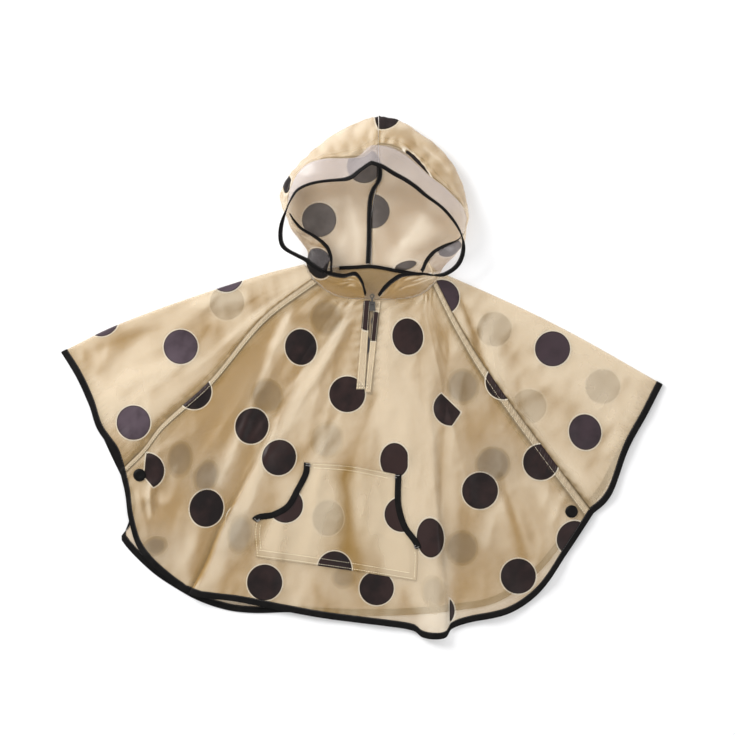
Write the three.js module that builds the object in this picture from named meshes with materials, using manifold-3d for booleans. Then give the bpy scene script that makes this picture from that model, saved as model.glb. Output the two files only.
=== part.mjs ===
// Toddler's hooded rain poncho of dotted translucent cloth, laid flat on its back.
// Millimetres. +Z points up from the surface it lies on, +Y runs from the hem to the hood and
// +X to the right as it is seen from above. The origin is the middle of its flat underside.
import * as THREE from 'three';
import { mergeVertices } from 'three/addons/utils/BufferGeometryUtils.js';
import Module from 'manifold-3d';

const wasm = await Module();
wasm.setup();

// Walls and gaps
const CLOTH = 1.2;
const HALF = CLOTH / 2;
const SEAM_GAP = 0.3;
const LAYER_GAP = 0.4;
const VISOR_FILM = 1.0;
const BINDING_WIDTH = 8;
const BINDING_OUT = 0.6;
const BINDING_IN = 1.4;

// Heights of the two layers' middle surfaces
const BACK_Z = HALF;
const FRONT_HEM_Z = 4.0;
const FRONT_NECK_RISE = 1.6;
const SHOULDER_RADIUS = 1.9;
const SHOULDER_Z = BACK_Z + 2 * SHOULDER_RADIUS;

// Grid steps
const ROWS = 16;
const BACK_ROWS = 8;
const BACK_COLUMNS = 18;
const SIDE_FRONT_COLUMNS = 8;
const SIDE_BACK_COLUMNS = 4;
const FOLD_STEPS = 4;

// Outline of the front panel, left to right as seen from above
const NECK_FRONT = [
  { at: 0, x: -70, y: 138 },
  { at: 0.11, x: -52, y: 123 },
  { at: 0.22, x: -34, y: 114 },
  { at: 0.35, x: -10, y: 110 },
  { at: 0.5, x: 13, y: 110 },
  { at: 0.62, x: 36, y: 109 },
  { at: 0.74, x: 70, y: 112 },
  { at: 0.88, x: 90, y: 121 },
  { at: 1, x: 104, y: 135 },
];
const HEM_FRONT = [
  { at: 0, x: -333, y: -126 },
  { at: 0.05, x: -326, y: -157 },
  { at: 0.09, x: -321, y: -194 },
  { at: 0.14, x: -308, y: -234 },
  { at: 0.2, x: -274, y: -271 },
  { at: 0.26, x: -235, y: -296 },
  { at: 0.35, x: -167, y: -307 },
  { at: 0.43, x: -102, y: -320 },
  { at: 0.51, x: -45, y: -330 },
  { at: 0.63, x: 50, y: -342 },
  { at: 0.655, x: 74, y: -347 },
  { at: 0.668, x: 84, y: -355 },
  { at: 0.69, x: 102, y: -358 },
  { at: 0.708, x: 118, y: -355 },
  { at: 0.716, x: 124, y: -345 },
  { at: 0.75, x: 146, y: -336 },
  { at: 0.82, x: 205, y: -322 },
  { at: 0.87, x: 245, y: -294 },
  { at: 0.94, x: 284, y: -238 },
  { at: 1, x: 319, y: -184 },
];

// Raglan seams and shoulder folds, from the neck to the hem
const RAGLAN_LEFT = [
  { at: 0, x: -70, y: 138 },
  { at: 0.25, x: -140, y: 84 },
  { at: 0.55, x: -214, y: -5 },
  { at: 0.8, x: -280, y: -65 },
  { at: 0.92, x: -307, y: -100 },
  { at: 1, x: -333, y: -126 },
];
const RAGLAN_RIGHT = [
  { at: 0, x: 104, y: 135 },
  { at: 0.17, x: 134, y: 77 },
  { at: 0.38, x: 174, y: 12 },
  { at: 0.72, x: 248, y: -90 },
  { at: 1, x: 319, y: -184 },
];
const SHOULDER_LEFT = [
  { at: 0, x: -80, y: 159 },
  { at: 0.2, x: -137, y: 145 },
  { at: 0.4, x: -204, y: 124 },
  { at: 0.62, x: -288, y: 95 },
  { at: 0.82, x: -356, y: 68 },
  { at: 1, x: -414, y: 39 },
];
const SHOULDER_RIGHT = [
  { at: 0, x: 111, y: 147 },
  { at: 0.25, x: 182, y: 116 },
  { at: 0.5, x: 249, y: 85 },
  { at: 0.75, x: 316, y: 50 },
  { at: 1, x: 414, y: -6 },
];

// Side hems, from the raglan seam to the tip at the shoulder fold
const SIDE_HEM_LEFT = [
  { at: 0, x: -333, y: -126 },
  { at: 0.2, x: -343, y: -98 },
  { at: 0.45, x: -365, y: -66 },
  { at: 0.65, x: -377, y: -30 },
  { at: 0.85, x: -395, y: 9 },
  { at: 1, x: -414, y: 39 },
];
const SIDE_HEM_RIGHT = [
  { at: 0, x: 319, y: -184 },
  { at: 0.15, x: 337, y: -168 },
  { at: 0.3, x: 349, y: -147 },
  { at: 0.55, x: 368, y: -93 },
  { at: 0.8, x: 393, y: -47 },
  { at: 1, x: 414, y: -6 },
];

// Outline of the back panel, left to right as seen from above
const NECK_BACK = [
  { at: 0, x: -52, y: 154 },
  { at: 0.25, x: -11, y: 156 },
  { at: 0.45, x: 15, y: 157 },
  { at: 0.7, x: 50, y: 151 },
  { at: 1, x: 88, y: 145 },
];
const HEM_BACK = [
  { at: 0, x: -330, y: -140 },
  { at: 0.05, x: -324, y: -224 },
  { at: 0.09, x: -286, y: -262 },
  { at: 0.14, x: -233, y: -296 },
  { at: 0.2, x: -185, y: -310 },
  { at: 0.3, x: -101, y: -321 },
  { at: 0.42, x: -31, y: -325 },
  { at: 0.55, x: 53, y: -325 },
  { at: 0.68, x: 133, y: -318 },
  { at: 0.8, x: 193, y: -304 },
  { at: 0.88, x: 245, y: -265 },
  { at: 0.94, x: 284, y: -217 },
  { at: 1, x: 319, y: -171 },
];
const BACK_SIDE_HEM_LEFT = [
  { at: 0, x: -330, y: -140 },
  { at: 0.3, x: -350, y: -97 },
  { at: 0.6, x: -371, y: -48 },
  { at: 0.8, x: -392, y: 1 },
  { at: 1, x: -414, y: 39 },
];
const BACK_SIDE_HEM_RIGHT = [
  { at: 0, x: 319, y: -171 },
  { at: 0.2, x: 335, y: -150 },
  { at: 0.5, x: 357, y: -108 },
  { at: 0.75, x: 384, y: -60 },
  { at: 1, x: 414, y: -6 },
];

// Soft ridges of the front panel. place is across the hem, half_width and height are at the hem,
// and from is how far down the panel each one starts.
const FRONT_RIDGES = [
  { place: 0.07, half_width: 16, height: 3.5, from: 0.45 },
  { place: 0.17, half_width: 20, height: 4.5, from: 0.3 },
  { place: 0.37, half_width: 22, height: 2.5, from: 0.5 },
  { place: 0.48, half_width: 26, height: 2.0, from: 0.6 },
  { place: 0.6, half_width: 24, height: 2.5, from: 0.55 },
  { place: 0.8, half_width: 22, height: 4.0, from: 0.25 },
  { place: 0.9, half_width: 18, height: 5.0, from: 0.35 },
];

// The ridges fade within this share of the panel's width from its side edges
const EDGE_SHARE = 0.05;

// The tubular pleat right of the pocket: round on its left side, sharp on its right
const PLEAT = { place: 0.702, left_width: 22, right_width: 6, height: 9, from: 0.2 };

// The cloth's lines lean to the right near the neck by this much of its width
const LEAN = { place: 0.7, reach: 0.12, shift: 0.09 };

// Section of the overlapping fold on the left of the front panel, at the hem: across the fold
// and up from the lower layer. flat is where the same column lies above the fold's start.
const OVERLAP = { place: 0.26, from: 0.3, settle: 70 };
const OVERLAP_SECTION = [
  { flat: -10, across: -13, up: 0 },
  { flat: -7.5, across: -4, up: 0.1 },
  { flat: -5, across: 4, up: 0.3 },
  { flat: -2.5, across: 8.5, up: 1.7 },
  { flat: 0, across: 7.5, up: 3.8 },
  { flat: 2.5, across: 2, up: 4.8 },
  { flat: 4.5, across: -2.8, up: 6.2 },
  { flat: 6.5, across: -2.8, up: 8.2 },
  { flat: 8, across: 3, up: 9.4 },
  { flat: 10, across: 11, up: 9.6 },
];
const OVERLAP_RISE = 9.6;

// Soft ridges of the side panels' front halves, from the raglan seam (0) to the shoulder (1)
const SIDE_RIDGES = [
  { place: 0.25, half_width: 0.12, height: 2.5, from: 0.3 },
  { place: 0.55, half_width: 0.13, height: 3.0, from: 0.2 },
  { place: 0.82, half_width: 0.1, height: 1.8, from: 0.4 },
];

// The felled raglan seams are raised strips of even width along the front panel's side edges
const SEAM_RIDGE = { width: 7.5, slope: 1.5, height: 0.8 };

// Hood. Each row is a direction from the hood's centre, in degrees from straight up. rim, seam
// and outline are distances from that centre in plan, with their heights, and neck_ is where
// the same strip of cloth starts at the neck seam.
const HOOD_CENTRE = { x: 13, y: 232 };
const HOOD_LEFT = [
  { at: 0, rim: 65.5, seam: 91.5, outline: 133.5, rim_z: 62, seam_z: 38, outline_z: 17, neck_x: 12.7, neck_y: 157.7, neck_z: 0.6 },
  { at: 14, rim: 58, seam: 78, outline: 127.5, rim_z: 62, seam_z: 38, outline_z: 16, neck_x: 5, neck_y: 157.4, neck_z: 0.6 },
  { at: 30, rim: 53.5, seam: 84.5, outline: 120.5, rim_z: 60, seam_z: 40, outline_z: 16, neck_x: -5, neck_y: 157, neck_z: 0.6 },
  { at: 43, rim: 58, seam: 98.5, outline: 119.5, rim_z: 57, seam_z: 44, outline_z: 18, neck_x: -16, neck_y: 156.4, neck_z: 0.6 },
  { at: 56, rim: 73, seam: 112, outline: 120.5, rim_z: 56, seam_z: 42, outline_z: 18, neck_x: -26, neck_y: 155.9, neck_z: 0.6 },
  { at: 74, rim: 105, seam: 117, outline: 128, rim_z: 58, seam_z: 35, outline_z: 16, neck_x: -38, neck_y: 155.3, neck_z: 0.6 },
  { at: 82, rim: 112, seam: 117, outline: 129, rim_z: 58, seam_z: 32, outline_z: 15, neck_x: -43, neck_y: 155.2, neck_z: 0.6 },
  { at: 90, rim: 118, seam: 116, outline: 122, rim_z: 57, seam_z: 30, outline_z: 14, neck_x: -47, neck_y: 155.2, neck_z: 0.6 },
  { at: 104, rim: 130, seam: 101, outline: 113, rim_z: 44, seam_z: 28, outline_z: 13, neck_x: -58, neck_y: 156.5, neck_z: 0.6 },
  { at: 112, rim: 132, seam: 89, outline: 104, rim_z: 38, seam_z: 27, outline_z: 12, neck_x: -68, neck_y: 158.6, neck_z: 0.6 },
  { at: 120, rim: 121.5, seam: 82, outline: 99, rim_z: 34, seam_z: 26, outline_z: 12, neck_x: -78.2, neck_y: 160.4, neck_z: 1.8 },
  { at: 126, rim: 114, seam: 80, outline: 99, rim_z: 31, seam_z: 25, outline_z: 12, neck_x: -77.6, neck_y: 157.4, neck_z: 3.6 },
  { at: 131, rim: 111.5, seam: 80, outline: 100, rim_z: 28, seam_z: 24, outline_z: 13, neck_x: -75, neck_y: 152, neck_z: 4.9 },
  { at: 140, rim: 107.5, seam: 87, outline: 104, rim_z: 24, seam_z: 22, outline_z: 13, neck_x: -68, neck_y: 140.4, neck_z: 5.6 },
  { at: 148, rim: 103, seam: 103, outline: 112, rim_z: 21, seam_z: 21, outline_z: 12, neck_x: -51.5, neck_y: 124.8, neck_z: 5.6 },
  { at: 156.5, rim: 98, seam: 98, outline: 112, rim_z: 21, seam_z: 21, outline_z: 12, neck_x: -35, neck_y: 116, neck_z: 5.6 },
  { at: 165.4, rim: 90, seam: 90, outline: 108, rim_z: 22, seam_z: 22, outline_z: 13, neck_x: -20, neck_y: 112.4, neck_z: 5.6 },
  { at: 172.8, rim: 100, seam: 100, outline: 112, rim_z: 18, seam_z: 18, outline_z: 12, neck_x: -6, neck_y: 111.4, neck_z: 5.6 },
  { at: 176, rim: 116, seam: 116, outline: 119, rim_z: 15, seam_z: 15, outline_z: 11, neck_x: 3, neck_y: 111.2, neck_z: 5.6 },
];
const HOOD_RIGHT = [
  { at: 0, rim: 65.5, seam: 91.5, outline: 133.5, rim_z: 62, seam_z: 38, outline_z: 17, neck_x: 13.3, neck_y: 157.7, neck_z: 0.6 },
  { at: 13, rim: 62.5, seam: 92, outline: 132, rim_z: 62, seam_z: 38, outline_z: 17, neck_x: 21, neck_y: 157.2, neck_z: 0.6 },
  { at: 30, rim: 59.5, seam: 91, outline: 128.5, rim_z: 62, seam_z: 40, outline_z: 17, neck_x: 32, neck_y: 155.6, neck_z: 0.6 },
  { at: 44.5, rim: 62, seam: 90, outline: 129.5, rim_z: 60, seam_z: 42, outline_z: 18, neck_x: 43, neck_y: 153.2, neck_z: 0.6 },
  { at: 60.6, rim: 68.5, seam: 95, outline: 131, rim_z: 60, seam_z: 44, outline_z: 19, neck_x: 54, neck_y: 151.2, neck_z: 0.6 },
  { at: 76.6, rim: 80, seam: 112, outline: 132, rim_z: 61, seam_z: 40, outline_z: 18, neck_x: 66, neck_y: 149.4, neck_z: 0.6 },
  { at: 92, rim: 105, seam: 132, outline: 135, rim_z: 61, seam_z: 34, outline_z: 15, neck_x: 78, neck_y: 147.5, neck_z: 0.6 },
  { at: 107, rim: 132, seam: 130, outline: 136, rim_z: 56, seam_z: 30, outline_z: 13, neck_x: 90, neck_y: 146.2, neck_z: 0.6 },
  { at: 115, rim: 140, seam: 114, outline: 134, rim_z: 45, seam_z: 29, outline_z: 13, neck_x: 101, neck_y: 148, neck_z: 0.6 },
  { at: 122, rim: 141.5, seam: 105, outline: 128, rim_z: 36, seam_z: 28, outline_z: 13, neck_x: 109.4, neck_y: 148.6, neck_z: 1.8 },
  { at: 128, rim: 137.5, seam: 103, outline: 122, rim_z: 31, seam_z: 27, outline_z: 13, neck_x: 109, neck_y: 146, neck_z: 3.6 },
  { at: 133, rim: 131, seam: 104, outline: 119, rim_z: 28, seam_z: 26, outline_z: 13, neck_x: 106, neck_y: 140.5, neck_z: 4.9 },
  { at: 141, rim: 112, seam: 109, outline: 115, rim_z: 24, seam_z: 23, outline_z: 13, neck_x: 100, neck_y: 133.4, neck_z: 5.6 },
  { at: 154, rim: 99, seam: 99, outline: 113, rim_z: 21, seam_z: 21, outline_z: 12, neck_x: 80, neck_y: 117.8, neck_z: 5.6 },
  { at: 163, rim: 101, seam: 101, outline: 114, rim_z: 20, seam_z: 20, outline_z: 12, neck_x: 58, neck_y: 111.8, neck_z: 5.6 },
  { at: 170, rim: 108, seam: 108, outline: 114, rim_z: 18, seam_z: 18, outline_z: 12, neck_x: 42, neck_y: 110.6, neck_z: 5.6 },
  { at: 175, rim: 118, seam: 118, outline: 120, rim_z: 15, seam_z: 15, outline_z: 11, neck_x: 26, neck_y: 111, neck_z: 5.6 },
];
const HOOD_BINDING = { width: 7, out: 1.1, gap: 1.2 };
const SEAM_BINDING = { width: 6, thickness: 1.2 };
const NECK_BINDING = { from: 0.06, to: 0.94, drop: 1.5 };
const CENTRE_BINDING = { bottom_y: 161, top_y: 300 };
const VISOR_BINDINGS = { left: [92, 134], right: [106, 130] };
const VISOR_ENDS = { left: 138, right: 132 };

// Gap at the visor's seam, wider where the visor folds back over the hood
const VISOR_GAP = { narrow: 0.5, wide: 2.0, from: 36, to: 100 };

// A strip of hood cloth: how far out it lies flat and how high, where it turns up to the visor,
// and how far it swells where it stands as a collar
const HOOD_STRIP = {
  lying: [0.45, 0.84],
  lift: 0.8,
  turn: 0.5,
  turn_height: 0.62,
  standing: [0.25, 0.5, 0.7, 0.85],
  swell: 0.15,
  stands_from: 1.8,
  stands_at: 5,
};
const STRIP_PLACES = [0, 0.1, 0.2, 0.3, 0.4, 0.47, 0.54, 0.6, 0.67, 0.74, 0.82, 0.91, 1];

// Pocket outline, from its top edge down
const POCKET_TOP = [
  { at: 0, x: -74, y: -119 },
  { at: 0.5, x: -14, y: -123 },
  { at: 1, x: 48, y: -135 },
];
const POCKET_BOTTOM = [
  { at: 0, x: -148, y: -251 },
  { at: 0.5, x: -45, y: -265 },
  { at: 1, x: 76, y: -284 },
];
const POCKET_LEFT = [
  { at: 0, x: -74, y: -119 },
  { at: 0.14, x: -76, y: -135 },
  { at: 0.32, x: -88, y: -159 },
  { at: 0.5, x: -102, y: -182 },
  { at: 0.62, x: -123, y: -194 },
  { at: 0.74, x: -148, y: -201 },
  { at: 1, x: -148, y: -251 },
];
const POCKET_RIGHT = [
  { at: 0, x: 48, y: -135 },
  { at: 0.3, x: 48, y: -178 },
  { at: 0.5, x: 57, y: -209 },
  { at: 0.74, x: 76, y: -239 },
  { at: 1, x: 76, y: -284 },
];
const POCKET_MOUTH_END = 0.74;
const POCKET_LIFT = CLOTH + 0.8;
const POCKET_BINDING = { width: 8.5, half_thickness: 0.9 };

// Half zip: the slit's centre line and the two welts beside it, as x at the top and bottom
const ZIP = { top_x: 14.3, top_y: 108, bottom_x: 4.6, bottom_y: -14, slit: 5.6 };
const SLIT_OVERRUN = 12;
const CUT_HEIGHT = 40;
const ZIP_TAPE = { width: 22, thickness: 1.0, below_slit: 10, below_neck: 2 };
const ZIP_CHAIN = { width: 4.2, thickness: 1.4, top_y: 96 };
const WELT_THICKNESS = 1.6;
const WELT_LEFT = { top_y: 108, bottom_y: -16, top: [2.6, 11.4], bottom: [-7.8, 3.8] };
const WELT_RIGHT = { top_y: 108, bottom_y: -20, top: [17.3, 26], bottom: [4.6, 12] };
const SLIDER = { x: 14.2, y: 100, length: 13, width: 8.4, plate: 1.8 };
const SLIDER_LUG = { thickness: 1.4, length: 4.4, above_pin: 0.6, ahead: 4 };
const SLIDER_STEM = { width: 3.6, length: 6, ahead: 0.4, into_slit: 0.2, into_plate: 0.1 };
const SLIDER_PIN = 0.8;
const PULL = { eye: 2.0, hole: 1.15, eye_width: 4.2, thickness: 1.5, reach: 10, ring: 3.4, ring_hole: 1.5 };
const PULL_TAB = { width: 2.6, into_eye: 0.5, into_ring: 0.6 };

// Snap fasteners: cap on the front panel, socket under it and stud in the back panel
const SNAPS = [
  { name: 'left', x: -311, y: -136 },
  { name: 'right', x: 293, y: -187 },
];
const SNAP = { cap: 8, flange: 6, post: 1.8, hole: 2.2, layer_z: 5.8, level: 16, spread: 70 };
const SNAP_CAP = { height: 2.6, dome: 0.6, dome_drop: 0.4, edge: 0.9, clench: 0.1 };
const SNAP_SOCKET = { depth: 1.9, well: 2.6, well_depth: 1.1 };
const SNAP_STUD = { ball: 2.1, below_cloth: 1.5, ball_edge: 0.1, flange_height: 0.9 };
const SNAP_SIDES = 16;

// Colours
const CLOTH_COLOUR = 0xe2d0b2;
const BINDING_COLOUR = 0x191716;
const VISOR_COLOUR = 0xd7cccb;
const ZIP_COLOUR = 0x2a2a30;

const clothMaterial = new THREE.MeshStandardMaterial({ color: CLOTH_COLOUR, roughness: 0.55, metalness: 0 });
const bindingMaterial = new THREE.MeshStandardMaterial({ color: BINDING_COLOUR, roughness: 0.7, metalness: 0 });
const visorMaterial = new THREE.MeshStandardMaterial({ color: VISOR_COLOUR, roughness: 0.25, metalness: 0 });
const zipMaterial = new THREE.MeshStandardMaterial({ color: ZIP_COLOUR, roughness: 0.4, metalness: 0 });
const snapMaterial = new THREE.MeshStandardMaterial({ color: BINDING_COLOUR, roughness: 0.25, metalness: 0 });

const poncho = new THREE.Group();

function addPiece(name, geometry, material) {
  const mesh = new THREE.Mesh(geometry, material);
  mesh.name = name;
  poncho.add(mesh);
  return mesh;
}

// Numbers along a table and across a range

function lerp(a, b, t) {
  return a + (b - a) * t;
}

function smooth(from, to, value) {
  const t = Math.min(Math.max((value - from) / (to - from), 0), 1);
  return t * t * (3 - 2 * t);
}

function steps(from, to, count) {
  return Array.from({ length: count + 1 }, (_, k) => lerp(from, to, k / count));
}

// A smooth curve through one column of a table, read at a place along it
function read(table, at, column) {
  let i = 0;
  while (i < table.length - 2 && at > table[i + 1].at) i += 1;
  const slope = (k) => {
    const a = table[Math.max(k - 1, 0)];
    const b = table[Math.min(k + 1, table.length - 1)];
    return (b[column] - a[column]) / (b.at - a.at);
  };
  const p = table[i];
  const q = table[i + 1];
  const span = q.at - p.at;
  const t = (at - p.at) / span;
  const ease = t * t * (3 - 2 * t);
  const leave = t * (1 - t) * (1 - t) * span * slope(i);
  const arrive = t * t * (t - 1) * span * slope(i + 1);
  return lerp(p[column], q[column], ease) + leave + arrive;
}

function planPoint(table, at) {
  return { x: read(table, at, 'x'), y: read(table, at, 'y') };
}

// The plan of a panel between four edges: u runs along top and bottom, v down left and right
function panelPlan(top, bottom, left, right) {
  const corner = (table, at) => planPoint(table, at);
  const blend = (axis, u, v) => {
    const across = lerp(corner(top, u)[axis], corner(bottom, u)[axis], v);
    const down = lerp(corner(left, v)[axis], corner(right, v)[axis], u);
    const upper = lerp(corner(top, 0)[axis], corner(top, 1)[axis], u);
    const lower = lerp(corner(bottom, 0)[axis], corner(bottom, 1)[axis], u);
    return across + down - lerp(upper, lower, v);
  };
  return (u, v) => ({ x: blend('x', u, v), y: blend('y', u, v) });
}

// Closed walls from a grid of points on the middle surface. points[i][j]; out and inside are the
// distances to its two faces. facing is 1 where (along j) x (along i) points outwards, else -1.
function wall(points, { facing = 1, out = HALF, inside = HALF, closed = false, raised = () => 0 } = {}) {
  const columns = points.length;
  const rows = points[0].length;
  const along = (i) => (closed ? (i + columns) % columns : Math.min(Math.max(i, 0), columns - 1));
  const down = (j) => Math.min(Math.max(j, 0), rows - 1);
  const vertices = [];
  for (let i = 0; i < columns; i += 1) {
    for (let j = 0; j < rows; j += 1) {
      const di = points[along(i + 1)][j].clone().sub(points[along(i - 1)][j]);
      const dj = points[i][down(j + 1)].clone().sub(points[i][down(j - 1)]);
      const normal = dj.cross(di).normalize().multiplyScalar(facing);
      vertices.push(points[i][j].clone().addScaledVector(normal, out + raised(i, j)));
      vertices.push(points[i][j].clone().addScaledVector(normal, -inside));
    }
  }
  const outer = (i, j) => 2 * (along(i) * rows + j);
  const inner = (i, j) => outer(i, j) + 1;
  const faces = [];
  const quad = (a, b, c, d) => faces.push([a, b, c], [a, c, d]);
  const lastColumn = closed ? columns : columns - 1;
  for (let i = 0; i < lastColumn; i += 1) {
    for (let j = 0; j < rows - 1; j += 1) {
      quad(outer(i, j), outer(i, j + 1), outer(i + 1, j + 1), outer(i + 1, j));
      quad(inner(i, j), inner(i + 1, j), inner(i + 1, j + 1), inner(i, j + 1));
    }
    quad(outer(i, 0), outer(i + 1, 0), inner(i + 1, 0), inner(i, 0));
    quad(outer(i, rows - 1), inner(i, rows - 1), inner(i + 1, rows - 1), outer(i + 1, rows - 1));
  }
  for (let j = 0; j < rows - 1 && !closed; j += 1) {
    quad(outer(0, j), inner(0, j), inner(0, j + 1), outer(0, j + 1));
    quad(outer(columns - 1, j), outer(columns - 1, j + 1), inner(columns - 1, j + 1), inner(columns - 1, j));
  }
  const geometry = new THREE.BufferGeometry().setFromPoints(vertices);
  geometry.setIndex(faces.flatMap((face) => (facing > 0 ? face : [face[0], face[2], face[1]])));
  return geometry;
}

// Solids for cutting and joining

function weld(geometry) {
  const bare = new THREE.BufferGeometry();
  bare.setAttribute('position', geometry.getAttribute('position').clone());
  if (geometry.index) bare.setIndex(geometry.index.clone());
  return mergeVertices(bare, 1e-4);
}

function toSolid(geometry) {
  const welded = weld(geometry);
  const vertProperties = Float32Array.from(welded.getAttribute('position').array);
  const triVerts = Uint32Array.from(welded.index.array);
  return new wasm.Manifold(new wasm.Mesh({ numProp: 3, vertProperties, triVerts }));
}

function toGeometry(solid) {
  const mesh = solid.getMesh();
  const geometry = new THREE.BufferGeometry();
  geometry.setAttribute('position', new THREE.BufferAttribute(mesh.vertProperties.slice(), 3));
  geometry.setIndex(new THREE.BufferAttribute(mesh.triVerts.slice(), 1));
  return geometry;
}

function cut(geometry, ...tools) {
  return toGeometry(tools.reduce((solid, tool) => solid.subtract(toSolid(tool)), toSolid(geometry)));
}

function join(...geometries) {
  return toGeometry(geometries.map(toSolid).reduce((all, solid) => all.add(solid)));
}

// A turned piece standing along Z: each profile point is [radius, height], from the top down
function turned(profile, x, y) {
  const points = profile.map(([radius, height]) => new THREE.Vector2(radius, height));
  const geometry = new THREE.LatheGeometry(points.reverse(), SNAP_SIDES);
  return geometry.rotateX(Math.PI / 2).translate(x, y, 0);
}

// Front panel

const frontPlan = panelPlan(NECK_FRONT, HEM_FRONT, RAGLAN_LEFT, RAGLAN_RIGHT);

// The cloth's own place across the panel, with the lean near the neck
function leaning(place, v) {
  const reach = (place - LEAN.place) / LEAN.reach;
  return place + LEAN.shift * Math.exp(-reach * reach) * (1 - v);
}

function frontWidth(v) {
  const left = planPoint(RAGLAN_LEFT, v);
  const right = planPoint(RAGLAN_RIGHT, v);
  return Math.hypot(right.x - left.x, right.y - left.y);
}

function seamHeight(v) {
  return FRONT_HEM_Z + FRONT_NECK_RISE * (1 - v) * (1 - v);
}

function bell(distance, width) {
  return Math.exp(-((distance / width) ** 2));
}

function overlapGrowth(v) {
  return smooth(OVERLAP.from, 1, v);
}

function frontHeight(place, v) {
  const width = frontWidth(v);
  const edge = smooth(0, EDGE_SHARE, place) * smooth(0, EDGE_SHARE, 1 - place);
  let height = seamHeight(v);
  for (const ridge of FRONT_RIDGES) {
    const grown = smooth(ridge.from, 1, v) * ridge.height;
    height += edge * grown * bell((place - ridge.place) * width, ridge.half_width);
  }
  const pleatWidth = place < PLEAT.place ? PLEAT.left_width : PLEAT.right_width;
  height += PLEAT.height * smooth(PLEAT.from, 0.8, v) * bell((place - PLEAT.place) * width, pleatWidth);
  const past = (place - OVERLAP.place) * width;
  if (past > 0) height += OVERLAP_RISE * Math.sqrt(overlapGrowth(v)) * Math.exp(-past / OVERLAP.settle);
  const point = frontPlan(leaning(place, v), v);
  for (const snap of SNAPS) {
    const far = smooth(SNAP.level, SNAP.spread, Math.hypot(point.x - snap.x, point.y - snap.y));
    height = lerp(SNAP.layer_z, height, far);
  }
  return height;
}

function frontPoint(place, v) {
  const { x, y } = frontPlan(leaning(place, v), v);
  return new THREE.Vector3(x, y, frontHeight(place, v));
}

// A column of the overlapping fold, beside the fold's own line
function overlapPoint(column, v) {
  const near = 0.01;
  const before = frontPlan(leaning(OVERLAP.place - near, v), v);
  const after = frontPlan(leaning(OVERLAP.place + near, v), v);
  const line = frontPlan(leaning(OVERLAP.place, v), v);
  const step = new THREE.Vector2(after.x - before.x, after.y - before.y).normalize();
  const growth = overlapGrowth(v);
  const across = lerp((column.flat * frontWidth(v)) / frontWidth(1), column.across, growth);
  const justBefore = OVERLAP.place - 1e-6;
  const low = frontHeight(justBefore, v);
  const height = low + column.up * Math.sqrt(growth);
  return new THREE.Vector3(line.x + step.x * across, line.y + step.y * across, height);
}

// Columns of the front panel: even ones, closer at the pleat, with the fold's own in between
function frontColumns() {
  const beside = (distance, hand) => (v) => {
    const place = distance / frontWidth(v);
    return frontPoint(hand < 0 ? place : 1 - place, v);
  };
  const seamEdge = [0, SEAM_RIDGE.width, SEAM_RIDGE.width + SEAM_RIDGE.slope];
  const left = steps(0.07, 0.235, 6);
  const middle = steps(0.285, 0.655, 13);
  const pleat = [0.668, 0.68, 0.69, 0.7, 0.708, 0.716];
  const right = steps(0.735, 0.93, 7);
  const plain = (place) => (v) => frontPoint(place, v);
  const fold = OVERLAP_SECTION.map((column) => (v) => overlapPoint(column, v));
  return [
    ...seamEdge.map((distance) => beside(distance, -1)),
    ...left.map(plain),
    ...fold,
    ...middle.map(plain),
    ...pleat.map(plain),
    ...right.map(plain),
    ...seamEdge.reverse().map((distance) => beside(distance, 1)),
  ];
}

// Draws the edges of a grid in by a gap: at the first and last column, and the first and last row
function inset(points, { first = 0, last = 0, top = 0, bottom = 0 }) {
  const pull = (from, to, gap) => from.clone().add(to.clone().sub(from).setLength(gap));
  const end = points.length - 1;
  const rows = points[0].length - 1;
  const moved = points.map((column) => column.map((point) => point.clone()));
  for (let j = 0; j <= rows; j += 1) {
    if (first) moved[0][j] = pull(points[0][j], points[1][j], first);
    if (last) moved[end][j] = pull(points[end][j], points[end - 1][j], last);
  }
  for (let i = 0; i <= end; i += 1) {
    const column = moved[i].map((point) => point.clone());
    if (top) moved[i][0] = pull(column[0], column[1], top);
    if (bottom) moved[i][rows] = pull(column[rows], column[rows - 1], bottom);
  }
  return moved;
}

const downRows = steps(0, 1, ROWS);
const frontGrid = frontColumns().map((column) => downRows.map((v) => column(v)));

// Where a point in plan lies on the front panel: the panel's own place and how far down
function placeOnFront(x, y) {
  let place = 0.5;
  let v = 0.5;
  const small = 1e-3;
  for (let turn = 0; turn < 30; turn += 1) {
    const here = frontPlan(leaning(place, v), v);
    const right = frontPlan(leaning(place + small, v), v);
    const below = frontPlan(leaning(place, v + small), v + small);
    const a = (right.x - here.x) / small;
    const b = (below.x - here.x) / small;
    const c = (right.y - here.y) / small;
    const d = (below.y - here.y) / small;
    const determinant = a * d - b * c;
    place += (d * (x - here.x) - b * (y - here.y)) / determinant;
    v += (a * (y - here.y) - c * (x - here.x)) / determinant;
    place = Math.min(Math.max(place, 0), 1);
    v = Math.min(Math.max(v, 0), 1);
  }
  return { place, v };
}

function onFront(x, y, lift) {
  const { place, v } = placeOnFront(x, y);
  return new THREE.Vector3(x, y, frontHeight(place, v) + lift);
}

// A flat strip that follows the front panel between two plan lines
function stripOnFront(left, right, lift, count, half) {
  const points = steps(0, 1, 2).map((across) =>
    steps(0, 1, count).map((v) => {
      const x = lerp(left(v).x, right(v).x, across);
      const y = lerp(left(v).y, right(v).y, across);
      return onFront(x, y, lift);
    }),
  );
  return wall(points, { out: half, inside: half });
}

function slitX(y) {
  return lerp(ZIP.top_x, ZIP.bottom_x, (ZIP.top_y - y) / (ZIP.top_y - ZIP.bottom_y));
}

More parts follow.
